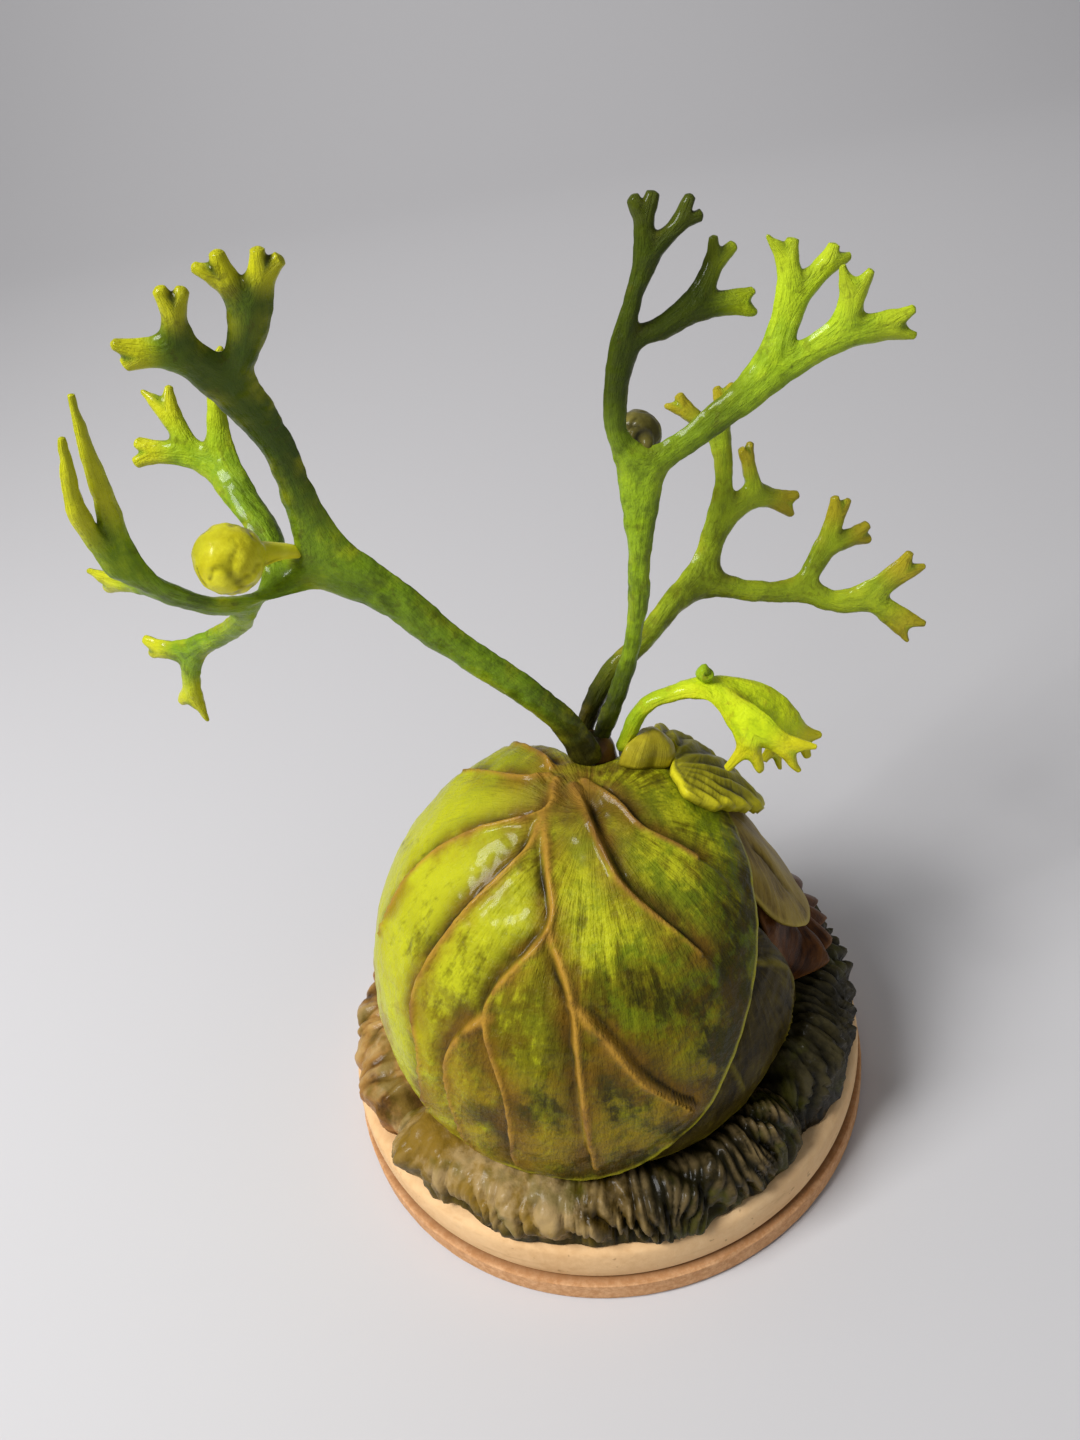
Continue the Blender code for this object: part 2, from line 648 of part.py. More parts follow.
def antler_frond(name, root, across, colour):
    """A forked frond with a blind bore up its stem, and the wire that it stands on."""
    mesh = FrondMesh()
    placed = shifted(root, frond_origin)
    x, y, _, width = placed["points"].pop(0)
    foot = Vector((x, y, crown.z + CLEARANCE))
    up = Vector((0, 0, 1))
    outer = mesh.ring(foot, across, up.cross(across), width / 2, STEM_THICKNESS / 2)
    stations = grow(mesh, placed, outer, foot, width, across, 0.0, STEM_THICKNESS)
    bored = [(foot, across, up.cross(across))] + stations[:WIRE_REACH]
    inner = [mesh.ring(*station, bore_radius, bore_radius) for station in bored]
    mesh.faces += skin(outer, inner[0])
    for a, b in zip(inner, inner[1:]):
        mesh.faces += skin(a, b)
    mesh.faces.append(tuple(inner[-1]))
    piece(name + "_frond", mesh.points, mesh.faces, finish(name + "_paint", colour, 0.35))
    wire = FrondMesh()
    low = Vector((foot.x, foot.y, core_top - SOCKET_DEPTH + CLEARANCE))
    last = bored[-1]
    short = bored[-2][0].lerp(last[0], 1 - CLEARANCE / (last[0] - bored[-2][0]).length)
    spots = [(low, *bored[0][1:])] + bored[:-1] + [(short, *last[1:])]
    for spot in spots:
        wire.ring(*spot, WIRE_RADIUS, WIRE_RADIUS)
    rings = [wire.points[k:k + 8] for k in range(0, len(wire.points), 8)]
    wire_name = name.split("_")[0] + "_wire"
    loft(wire_name, rings, finish(wire_name + "_steel", (0.45, 0.45, 0.45), 0.4, 1.0))
    return mesh.crotches[0], mesh.tops[0]


def shifted(stretch, move):
    """The same limb with its points measured from the origin."""
    points = [(x + move.x, y + move.y, z + move.z, width) for x, y, z, width in stretch["points"]]
    forks = tuple(shifted(fork, move) for fork in stretch["forks"])
    return {"points": points, "forks": forks, "tips": stretch["tips"]}


def spore_lobe(name, seat, centre, radius, stalk, colour):
    """A ball on a bent stalk that tapers onto its seat at a fork."""
    seat, between = seat
    start = seat + between * CLEARANCE
    knee = start + between * (1.5 * stalk)
    centre = frond_origin + Vector(centre)
    axis = (centre - knee).normalized()
    length = (centre - knee).length
    stations = [(start, between, 0.25 * stalk), (knee, between + axis, 0.8 * stalk)]
    neck = math.asin(min(0.95, stalk / radius))
    for k in range(7):
        angle = neck + (math.pi * 0.94 - neck) * k / 6
        along = length - radius * math.cos(angle)
        if along > stalk:
            stations.append((knee + axis * along, axis, radius * math.sin(angle)))
    across = axis.orthogonal()
    rings = []
    for spot, heading, size in stations:
        heading = heading.normalized()
        across = (across - heading * across.dot(heading)).normalized()
        other = heading.cross(across)
        turns = [math.tau * k / LOBE_SIDES for k in range(LOBE_SIDES)]
        rings.append([spot + across * (size * math.cos(a)) + other * (size * math.sin(a)) for a in turns])
    loft(name, rings, finish(name + "_paint", colour, 0.4))


def build():
    wooden_base()
    collar_piece("front_collar_roll", -64, 42, 1.0, (0.12, 0.11, 0.05), 0.35)
    collar_piece("right_collar_folds", 42, 118, 1.6, (0.05, 0.05, 0.03), 0.4)
    collar_piece("back_collar_roll", 118, 232, 1.0, (0.10, 0.09, 0.05), 0.4)
    collar_piece("left_collar_strip", 232, 296, 0.5, (0.16, 0.11, 0.06), 0.4)
    clay_core()
    crown_plug()
    shields()
    right = Vector((1, 0, 0))
    left_crotch, _ = antler_frond("left_antler", LEFT_FROND, right, (0.20, 0.33, 0.02))
    right_crotch, _ = antler_frond("right_antler", RIGHT_FROND, right, (0.22, 0.36, 0.03))
    antler_frond("rear_antler", REAR_FROND, right, (0.20, 0.28, 0.04))
    _, young_top = antler_frond("young", YOUNG_FROND, Vector((0, 1, 0)), (0.50, 0.58, 0.03))
    spore_lobe("left_spore_lobe", left_crotch, (-65, -21, 79), LEFT_LOBE_RADIUS, STALK_RADIUS,
               (0.62, 0.56, 0.02))
    spore_lobe("right_spore_lobe", right_crotch, (20, 14, 75), RIGHT_LOBE_RADIUS, STALK_RADIUS,
               (0.16, 0.12, 0.03))
    spore_lobe("young_lobe", young_top, (29, -6, 25), YOUNG_LOBE_RADIUS, YOUNG_STALK_RADIUS,
               (0.22, 0.22, 0.03))


for old in list(bpy.data.objects):
    bpy.data.objects.remove(old)
fern = bpy.data.objects.new("staghorn_fern", None)
bpy.context.scene.collection.objects.link(fern)
build()
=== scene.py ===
"""Painted clay staghorn fern on a round wooden base, dressed over its solids.

Sizes are in millimetres until a mesh is made. The front is towards -Y.
"""
import math

import bmesh
import bpy
import numpy as np
from mathutils import Matrix, Quaternion, Vector, noise


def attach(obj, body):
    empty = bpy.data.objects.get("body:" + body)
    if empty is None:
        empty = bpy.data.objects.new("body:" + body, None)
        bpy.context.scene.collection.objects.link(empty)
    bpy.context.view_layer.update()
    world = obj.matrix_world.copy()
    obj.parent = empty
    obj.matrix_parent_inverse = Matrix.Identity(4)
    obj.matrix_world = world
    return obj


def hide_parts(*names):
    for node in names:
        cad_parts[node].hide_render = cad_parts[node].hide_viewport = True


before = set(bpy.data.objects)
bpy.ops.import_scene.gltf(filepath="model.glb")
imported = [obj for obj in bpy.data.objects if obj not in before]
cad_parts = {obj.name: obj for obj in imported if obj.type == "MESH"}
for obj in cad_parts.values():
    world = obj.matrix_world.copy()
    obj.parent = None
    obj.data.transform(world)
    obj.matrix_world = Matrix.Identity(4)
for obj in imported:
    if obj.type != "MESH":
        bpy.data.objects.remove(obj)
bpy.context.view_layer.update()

MM = 0.001
CLEARANCE = 0.3

# Camera that took the view, in millimetres and degrees
EYE = (-2.7, -209.8, 279.5)
PITCH = 35.8
ROLL = 10.0
LENS = 27.05
NEAR_CLIP = 10.0

# Paper that the fern stands on, in metres
FLOOR_REACH = 6.0
FLOOR_DROP = 0.0002
SWEEP_START = 1.4
SWEEP_RADIUS = 1.6
SWEEP_STEPS = 24
PAPER_COLOUR = (0.58, 0.57, 0.58)
PAPER_ROUGHNESS = 0.9

# Light: each lamp's name, place in metres, size, power and aim
SKY_COLOUR = (0.93, 0.94, 0.97)
SKY_STRENGTH = 0.22
SWEEP_AIM = Vector((0.0, 3.0, 0.9))
FERN_AIM = Vector((0.0, -0.01, 0.12))
LAMPS = (
    ("window", Vector((-0.58, -0.30, 0.88)), 0.4, 13.0, FERN_AIM),
    ("fill", Vector((0.6, -0.6, 0.5)), 0.8, 0.5, FERN_AIM),
    ("backdrop", Vector((0.0, 0.7, 1.9)), 1.2, 26.0, SWEEP_AIM),
)

# Wooden base
BASE_RADIUS = 75.0
BASE_TOP = 20.0
BASE_SIDES = 240
FOOT_BEVEL = 1.2
SAWN_BAND = 7.0
SAWN_RINGS = range(3, 10)
SAWN_ROUGHNESS = 0.0022
SAW_MARKS = 60.0
SAW_MARK_RISE = 0.35
GROOVE_WIDTH = 1.4
GROOVE_DEPTH = 2.6
MOULDING_INSET = 1.2
MOULDING_BULGE = 1.0
MOULDING_STEPS = 12
SHOULDER = 1.3
SHOULDER_START = 0.86
SHARP_ANGLE = math.radians(40)

# Collar of old fronds
COLLAR_RADIUS = 71.3
COLLAR_FORWARD = 3.0
COLLAR_ARC_RADIUS = 64.0
COLLAR_SIDES = 72
STEPS_PER_DEGREE = 2.2
ROLL_HEIGHT = 15.5
RIGHT_SWELL = 13.0
SWELL_AZIMUTH = 72.0
SWELL_SPAN = 62.0

# Wrinkles of the collar: depths, then pitch, slant and sharpness of the folds
ROLL_DEPTH = 4.6
BACK_DEPTH = 3.0
CRUMPLE_DEPTH = 4.8
DENT_DEPTH = 1.8
ROLL_FOLDS = (5.0, 5.0, 0.7)
ROLL_CRINKLES = (2.6, -3.0, 0.8)
CRUMPLED_FOLDS = (3.9, 3.0, 0.7)
CRUMPLED_CRINKLES = (1.9, -2.0, 0.8)
DENTS_UP = (6.2, 8.0, 0.8)
DENTS_DOWN = (7.4, -8.0, 0.8)

# Unevenness of the collar: drift of the folds, waves of the outer edge, lumps, and how its ends close
FOLD_DRIFTS = ((7.0, 15.0, 1.4, 0.0), (2.6, 6.0, 2.4, 4.0))
EDGE_WAVES = ((2.2, 17.0, 3.0), (1.6, 6.0, 5.0))
COLLAR_LUMPS = ((1.9, 9.0), (0.7, 3.5), (0.3, 1.6))
END_HEIGHT = 0.55
END_SLOPE = 6

# Dome that the leaves lie on, and the crown
DOME_FORWARD = 8.0
CORE_RADIUS = 47.5
CORE_RISE = 54.0
DOME_CENTRE = np.array((0.0, -DOME_FORWARD, 51.0))
CROWN = Vector((9.0, 3.0, 116.3))
FROND_ORIGIN = Vector((9.0, 3.0, 112.3))
PLUG_RADIUS = 9.0
PLUG_BOTTOM = 98.3
MOUND_RADIUS = 6.0
MOUND_SIDES = 64
MOUND_TOP = 17.0

# Leaves
LEAF_THICKNESS = 2.2
LEAF_EDGE = 1.0
LEAF_GAP = 0.7
LIP_SHARPNESS = 6
EDGE_GAP = 0.8
EDGE_EASE = 1.3
RIPPLES = 5
SCAN_STEP = 0.25
SCAN_END = 125.0
UNDERSIDE_EVERY = 6
DRY_FLARE = 5.0
RUST_FLARE = 11.0
BROWN_FLARE = 8.0
FOLD_HEIGHT = 4.0
FOLD_START = 78.0
FOLD_RISE = 15.0
FAN_TILT = 1.5
FRONT_EDGE = 60.0
OLIVE_EDGE = 70.0
COVER_EASE = 8.0
BRUSH_SWEEP = 13.0
BRUSH_REACH = 15.0

# Veins: how far what lies beside them reaches and how deep it goes, in millimetres
SUNK_REACH = 5.0
RAISED_REACH = 9.0
WASH_REACH = 4.5
HUB_REACH = 15.0
DEEPEST_CREASE = 0.85

# Veins: where the creases change sides, in degrees, then how finely and how crooked they are drawn
CREASE_TURN = -5.0
VEIN_SAMPLES = 40
FAN_CORNERS = 5
FAN_START = 0.06
FAN_BEND = 9.0

# Fronds
STEM_THICKNESS = 5.2
LIMB_THICKNESS = 4.2
LIMB_SIDES = 8
TIP_WIDTH = 2.3
TIP_ROUND = 0.25
TIP_UNEVEN = 0.8
TIP_SPREAD = math.radians(28)
SMOOTHING_LOSS = 0.86
EDGE_KEENNESS = 0.7
TIP_KEENNESS = 0.75
RING_STEP = 6.0
CROTCH = 0.9
NARROWEST_FORK = 0.3
FORK_SHARE = 0.6
FORK_FLARE = 1.3
WEB_LIFT = 0.36
WEB_SETBACK = 0.25
WEB_LENGTH = 0.3
FROND_LENGTH = 150.0
STEM_SINK = 2.5
STEM_SWEEP = 2.2
STEM_STROKE = 7.0

# Spore balls
BALL_SIDES = 48
BALL_STEPS = 30
CRACK_DEPTH = 0.35

# Finger marks in the clay: lump size and height
FROND_MARKS = ((9.0, 0.4), (3.6, 0.3), (1.6, 0.16))
BALL_MARKS = ((6.0, 0.35), (2.0, 0.2))

# Painted shade on one arm of the fronds: colour, then across and up
RIGHT_ARM_SHADE = ((0.022, 0.030, 0.003), (54.0, 44.0), (178.0, 204.0))
LEFT_ARM_SHADE = ((0.040, 0.070, 0.004), (-56.0, -48.0), (186.0, 206.0))

# Varnish
SHEEN = 0.06
COAT_ROUGHNESS = 0.14
BUMP_DISTANCE = 0.0006
STROKE_HEIGHT = 1.6

# Sockets of a node that mixes colours
MIX_SHARE = 0
MIX_FIRST = 6
MIX_SECOND = 7
MIX_COLOUR = 2

COLOUR, FLOAT, VECTOR = "NodeSocketColor", "NodeSocketFloat", "NodeSocketVector"
BLACK = (0, 0, 0, 1)


def layer(number):
    """Offset of a leaf layer's underside from the core's surface."""
    return LEAF_GAP + number * (LEAF_THICKNESS + LEAF_GAP)


TOP_LAYER = layer(3) + LEAF_THICKNESS + CLEARANCE


def limb(*points, forks=(), tips=0.0):
    """A stretch of frond: (x, y, z, width) points from its origin, then two forks or two tips."""
    return {"points": points, "forks": forks, "tips": tips}


LEFT_FROND = limb(
    (-1, -5, 4, 9.5), (-8, -7, 20, 8.5), (-28, -9, 45, 9.5), (-37, -10, 58, 11), (-49, -11, 70, 16),
    forks=(
        limb((-50, -15, 89, 7.5), (-51, -18, 100, 7.5), (-54, -25, 113, 11), forks=(
            limb((-49, -27, 119, 6.5), (-46, -29, 125, 9), forks=(
                limb((-48.5, -30, 130, 5), tips=2),
                limb((-42.5, -30, 130, 5), tips=2))),
            limb((-59, -30, 121, 8), forks=(
                limb((-57.5, -31, 127, 4.5), tips=1.5),
                limb((-64.5, -31, 121.5, 5.5), tips=1.5))))),
        limb((-59, -11, 68, 12), forks=(
            limb((-61, -1, 75, 8), (-65, 4, 80, 8), (-69, 11, 86, 10), forks=(
                limb((-75, 13, 89, 7.5), forks=(
                    limb((-82, 14, 90, 5.5), tips=2.5),
                    limb((-77, 16, 97, 5), tips=2.5))),
                limb((-67, 13, 95, 5), (-65, 16, 105, 4), tips=1.5))),
            limb((-66, -15, 65, 10.5), forks=(
                limb((-73, -19, 69, 7.5), (-80, -22, 76, 9.5), forks=(
                    limb((-83, -26, 84, 9), forks=(
                        limb((-86, -30, 92, 4.8), (-83.5, -32, 103, 3.4), (-81.5, -33, 111, 1.8)),
                        limb((-81, -27, 93, 4.8), (-80, -29, 105, 3.6), (-78, -31, 117, 1.8)))),
                    limb((-89, -16, 76, 6), tips=2.5))),
                limb((-73, -6, 56, 6), (-84, 2, 49, 6), (-88, 5, 46, 8.5), forks=(
                    limb((-95, 9, 46, 5.5), tips=2),
                    limb((-92, 8, 34, 5.5), tips=4)))))))))

RIGHT_FROND = limb(
    (1, 1, 4, 6), (10, 1, 22, 5), (15, 3, 38, 5.2), (17, 4, 53, 6.5), (19, 5, 71, 12.5),
    forks=(
        limb((15, 5, 78, 5.5), (15, 5, 87, 6), (18, 5, 98, 8), forks=(
            limb((20, 5, 105, 4.5), (24, 5, 114, 6), forks=(
                limb((24, 5, 121, 4.5), tips=2.5),
                limb((31, 5, 119, 4), tips=2.5))),
            limb((25, 7, 99, 5.5), (34, 9, 102, 7.5), forks=(
                limb((38, 10, 109, 5), tips=2.5),
                limb((42, 10, 101, 6), tips=1.5))))),
        limb((24, 4, 73, 7), (37, 3, 81, 7.5), (47, 1, 89, 10), forks=(
            limb((49, 2, 96, 5), (52, 3, 102, 7.5), forks=(
                limb((51, 4, 109, 5), tips=2),
                limb((59, 4, 107, 5), tips=2))),
            limb((55, 0, 92, 7), (61, -1, 95, 9), forks=(
                limb((62, -2, 102, 6.5), tips=2.5),
                limb((69, -2, 95, 7.8), tips=2)))))))

REAR_FROND = limb(
    (-2.3, 5.9, 4, 6.4), (6, 7, 18, 6), (17, 10, 25, 7), (27, 17, 31, 8), (34, 21, 33, 12),
    forks=(
        limb((37, 23, 41, 7), (41, 25, 47, 9), forks=(
            limb((42, 27, 56, 5), (42, 29, 65, 6.5), forks=(
                limb((34, 30, 73, 4.5), tips=1.5),
                limb((43, 30, 73, 4.5), tips=1.5))),
            limb((49, 27, 50, 8), forks=(
                limb((48, 28, 59, 4), tips=1.5),
                limb((56, 29, 46, 6), tips=2.5))))),
        limb((42, 21, 28, 6), (55, 22, 24, 6.5), (60, 23, 24, 9), forks=(
            limb((67, 26, 33, 8), forks=(
                limb((70, 28, 40, 6.2), tips=1.5),
                limb((75, 28, 33, 6.2), tips=1.5))),
            limb((67, 21, 19, 6.5), (76, 19, 20, 10.5), forks=(
                limb((83, 18, 26, 7.5), tips=2.5),
                limb((84, 18, 12, 8), tips=2)))))))

YOUNG_FROND = limb(
    (6.5, -1.6, 4, 6), (14, -5, 17, 5), (22, -5, 19, 6), (29, -6, 20, 10),
    forks=(
        limb((33, -12, 18, 10), (37, -14, 11, 12), forks=(
            limb((36, -14, 6, 6), tips=5),
            limb((43, -16, 6.5, 6), tips=4.5))),
        limb((36, -6, 19, 9), (42, -6, 13, 11), (46, -6, 5, 11), forks=(
            limb((44, -7, -1, 5), tips=3.5),
            limb((51, -5, -1, 6), tips=4)))))

# Veins of the front shield: (azimuth, polar angle) in degrees, from the crown outwards
FRONT_VEINS = (
    ((-150, 4), (-158, 8), (-155, 24)),
    ((-100, 3), (-101, 10), (-126, 29)),
    ((-40, 2), (-27, 12), (-67, 23), (-79, 38), (-80, 60)),
    ((-26, 13), (-32, 24), (-53, 51), (-55, 63), (-51, 73), (-52, 92)),
    ((-26, 13), (-15, 26), (-14, 38), (-30, 52), (-31, 60), (-26, 75), (-27, 96)),
    ((-31, 57), (-38, 63), (-42, 73), (-39, 99)),
    ((-14, 38), (-8, 52), (-8, 65), (-8, 94)),
    ((-8, 53), (0, 61), (6, 71), (16, 82)),
    ((30, 5), (15, 23), (18, 34), (30, 51)),
    ((60, 6), (46, 16), (42, 24), (50, 36)),
)


def fan_veins(hub, turns, length):
    """Veins that fan out from a hub, bent like the front shield's."""
    middle, down, side = hub_axes(*hub)
    veins = []
    for turn in turns:
        vein = []
        for k in range(FAN_CORNERS + 1):
            arc = math.radians(length) * (FAN_START + (1 - FAN_START) * k / FAN_CORNERS)
            way = math.radians(turn + FAN_BEND * math.sin(1.9 * k + turn))
            along = down * math.cos(way) + side * math.sin(way)
            point = middle * math.cos(arc) + along * math.sin(arc)
            vein.append((azimuth_of(point), polar_of(point)))
        veins.append(tuple(vein))
    return veins


def dome_direction(azimuth, polar):
    """Unit direction: azimuth from the front to the right, polar from the top, in degrees."""
    a, p = np.radians(azimuth), np.radians(polar)
    return np.array((np.sin(p) * np.sin(a), -np.sin(p) * np.cos(a), np.cos(p)))


def hub_axes(azimuth, polar):
    """Directions at a hub: outwards, downhill and sideways."""
    return (dome_direction(azimuth, polar), dome_direction(azimuth, polar + 90),
            dome_direction(azimuth + 90, 90))


def azimuth_of(directions):
    """Angle from the front to the right, in degrees."""
    return np.degrees(np.arctan2(directions[..., 0], -directions[..., 1]))


def polar_of(directions):
    """Angle from the top, in degrees."""
    return np.degrees(np.arccos(np.clip(directions[..., 2], -1, 1)))


def dome_points(directions, offset):
    """Points that lie an offset outside the core's ball."""
    offset = np.asarray(offset)[..., None] if np.ndim(offset) else offset
    spread = np.array((CORE_RADIUS, CORE_RADIUS, CORE_RISE)) + offset
    return DOME_CENTRE + directions * spread


def clamp(value):
    """A value kept between 0 and 1."""
    return min(1.0, max(0.0, value))


def wobble(x, y, z):
    """Smooth noise from -1 to 1 at a place."""
    return noise.noise(Vector((x, y, z)))


def lumps(points, size, shift=0.0):
    """Smooth swelling from -1 to 1 over points, with lumps of about a size in millimetres."""
    flat = points.reshape(-1, 3) / size + shift
    return np.array([noise.noise(Vector(point)) for point in flat]).reshape(points.shape[:-1])


def step_up(values, low, high):
    """0 below low, 1 above high, eased between."""
    share = np.clip((values - low) / (high - low), 0, 1)
    return share * share * (3 - 2 * share)


def round_curve(pairs, angles):
    """Values at angles on a smooth closed curve through (angle, value) pairs, in degrees."""
    turns, values = np.array(sorted(pairs), float).T
    x = np.concatenate([turns - 360, turns, turns + 360])
    v = np.tile(values, 3)
    slope = np.gradient(v, x)
    k = np.clip(np.searchsorted(x, angles, side="right") - 1, 0, len(x) - 2)
    h = x[k + 1] - x[k]
    t = (angles - x[k]) / h
    return ((1 + 2 * t) * (1 - t) ** 2 * v[k] + t * (1 - t) ** 2 * h * slope[k]
            + t * t * (3 - 2 * t) * v[k + 1] + t * t * (t - 1) * h * slope[k + 1])


def curve_point(points, k, t):
    """Place on a smooth curve through points, a share t of the way from number k to the next."""
    a, b = points[k], points[k + 1]
    before = points[k - 1] if k else a - (b - a)
    after = points[k + 2] if k + 2 < len(points) else b + (b - a)
    return 0.5 * (2 * a + (b - before) * t + (2 * before - 5 * a + 4 * b - after) * t ** 2
                  + (3 * a - before - 3 * b + after) * t ** 3)


def ring_angles(sides):
    """Angles once round a ring."""
    return [math.tau * k / sides for k in range(sides)]


def ring_numbers(rings, sides, start=0):
    """Point numbers of rings laid one after another."""
    return [list(range(start + r * sides, start + (r + 1) * sides)) for r in range(rings)]


def skin(first, second):
    """Quads between two rings of point numbers."""
    count = len(first)
    return [(first[k], first[(k + 1) % count], second[(k + 1) % count], second[k]) for k in range(count)]


def sheet(numbers):
    """Quads over rings of point numbers."""
    return [face for first, second in zip(numbers, numbers[1:]) for face in skin(first, second)]


def closed_sheet(rings, sides):
    """Quads over rings of points, with a face at each end."""
    numbers = ring_numbers(rings, sides)
    return sheet(numbers) + [numbers[0][::-1], numbers[-1]]


def clay_piece(name, points, faces, material, node, marks=None, levels=0, keen=None):
    """One closed piece, from points in millimetres, with painter's marks, that stands for a node."""
    mesh = bpy.data.meshes.new(name)
    mesh.from_pydata([Vector(point) * MM for point in points], [], faces)
    for mark, values in (marks or {}).items():
        values = np.asarray(values, np.float32)
        kind, field = ("FLOAT_VECTOR", "vector") if values.ndim == 2 else ("FLOAT", "value")
        mesh.attributes.new(mark, kind, "POINT").data.foreach_set(field, values.ravel())
    shape = bmesh.new()
    shape.from_mesh(mesh)
    bmesh.ops.recalc_face_normals(shape, faces=shape.faces)
    if keen:
        crease = shape.edges.layers.float.new("crease_edge")
        for edge in shape.edges:
            edge[crease] = min(keen[end.index] for end in edge.verts)
    shape.to_mesh(mesh)
    shape.free()
    made = bpy.data.objects.new(name, mesh)
    bpy.context.scene.collection.objects.link(made)
    if levels:
        smooth = made.modifiers.new("smooth", "SUBSURF")
        smooth.levels = levels
        smooth.render_levels = levels
        seen = made.evaluated_get(bpy.context.evaluated_depsgraph_get())
        made.data = bpy.data.meshes.new_from_object(seen)
        made.data.name = name
        made.modifiers.clear()
        bpy.data.meshes.remove(mesh)
    made.data.shade_smooth()
    made.data.materials.clear()
    made.data.materials.append(material)
    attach(made, "root")
    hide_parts(node)
    return made


def roughen(made, amounts):
    """Press the surface in and out by hand: (lump size, height) pairs in millimetres."""
    mesh = made.data
    places = np.zeros(len(mesh.vertices) * 3)
    mesh.vertices.foreach_get("co", places)
    places = places.reshape(-1, 3) / MM
    normals = np.zeros(len(mesh.vertices) * 3)
    mesh.vertices.foreach_get("normal", normals)
    push = sum(height * lumps(places, size, 3.7 * size) for size, height in amounts)
    places += normals.reshape(-1, 3) * push[:, None]
    mesh.vertices.foreach_set("co", (places * MM).ravel())
    mesh.update()


# Paint, varnish and wood

def feed(tree, socket, value):
    """Put a number, a colour or another node's output into a socket."""
    if isinstance(value, bpy.types.NodeSocket):
        tree.links.new(value, socket)
    elif isinstance(value, tuple):
        socket.default_value = (*value, 1.0)
    else:
        socket.default_value = value


def feed_all(tree, node, **values):
    """Feed a node's sockets by label, with low lines for the spaces."""
    for label, value in values.items():
        feed(tree, node.inputs[label.replace("_", " ")], value)


def new_group(name, inputs, outputs):
    """An empty shader node group: the group, what it is given and what it gives."""
    group = bpy.data.node_groups.new(name, "ShaderNodeTree")
    for label, kind, value in inputs:
        socket = group.interface.new_socket(label, in_out="INPUT", socket_type=kind)
        socket.default_value = value
    for label, kind in outputs:
        group.interface.new_socket(label, in_out="OUTPUT", socket_type=kind)
    return group, group.nodes.new("NodeGroupInput").outputs, group.nodes.new("NodeGroupOutput").inputs


def noise_node(tree, where, scale, detail=4.0, roughness=0.6):
    """Cloudy values around a half."""
    node = tree.nodes.new("ShaderNodeTexNoise")
    feed_all(tree, node, Vector=where, Scale=scale, Detail=detail, Roughness=roughness)
    return node.outputs["Fac"]


def ramp(tree, value, low, high):
    """Eased 0 to 1 between two values."""
    node = tree.nodes.new("ShaderNodeMapRange")
    node.interpolation_type = "SMOOTHSTEP"
    feed_all(tree, node, Value=value, From_Min=low, From_Max=high)
    return node.outputs["Result"]


def blend(tree, share, first, second):
    """Colour mixed from first to second by a share; each is a socket or a colour."""
    node = tree.nodes.new("ShaderNodeMix")
    node.data_type = "RGBA"
    for number, value in ((MIX_SHARE, share), (MIX_FIRST, first), (MIX_SECOND, second)):
        feed(tree, node.inputs[number], value)
    return node.outputs[MIX_COLOUR]


def maths(tree, operation, first, second, clamped=False):
    """Sum, difference or product of two values."""
    node = tree.nodes.new("ShaderNodeMath")
    node.operation = operation
    node.use_clamp = clamped
    feed(tree, node.inputs[0], first)
    feed(tree, node.inputs[1], second)
    return node.outputs["Value"]


def wash_group():
    """Washes of three paints laid over each other in brushed patches."""
    group, given, result = new_group(
        "paint_wash",
        (("Place", VECTOR, (0, 0, 0)), ("Deep", COLOUR, BLACK), ("Body", COLOUR, BLACK),
         ("Light", COLOUR, BLACK), ("Patch", FLOAT, 60.0), ("Shade", FLOAT, 0.5)),
        (("Colour", COLOUR),))
    big = noise_node(group, given["Place"], given["Patch"], 5.0, 0.62)
    small = noise_node(group, given["Place"], 420.0, 3.0)
    mixed = maths(group, "ADD", maths(group, "MULTIPLY", big, 0.75), maths(group, "MULTIPLY", small, 0.25))
    shaded = maths(group, "ADD", mixed, maths(group, "SUBTRACT", given["Shade"], 0.5))
    low = blend(group, ramp(group, shaded, 0.34, 0.52), given["Deep"], given["Body"])
    tone = blend(group, ramp(group, shaded, 0.50, 0.68), low, given["Light"])
    group.links.new(tone, result["Colour"])
    return group


def varnish_group():
    """Brushed varnish: uneven gloss, brush drag and small pits."""
    group, given, result = new_group(
        "brushed_varnish",
        (("Place", VECTOR, (0, 0, 0)), ("Gloss", FLOAT, 0.3), ("Uneven", FLOAT, 0.25)),
        (("Roughness", FLOAT), ("Height", FLOAT)))
    drag = noise_node(group, given["Place"], 240.0)
    pits = noise_node(group, given["Place"], 900.0, 2.0)
    patch = noise_node(group, given["Place"], 45.0, 2.0)
    swing = maths(group, "MULTIPLY", maths(group, "SUBTRACT", patch, 0.5), given["Uneven"])
    group.links.new(maths(group, "ADD", given["Gloss"], swing, True), result["Roughness"])
    group.links.new(maths(group, "ADD", drag, maths(group, "MULTIPLY", pits, 0.5)), result["Height"])
    return group


WASH = wash_group()
VARNISH = varnish_group()


def placed_group(tree, group, **values):
    """A node group set into a material with its own values."""
    node = tree.nodes.new("ShaderNodeGroup")
    node.node_tree = group
    feed_all(tree, node, **values)
    return node


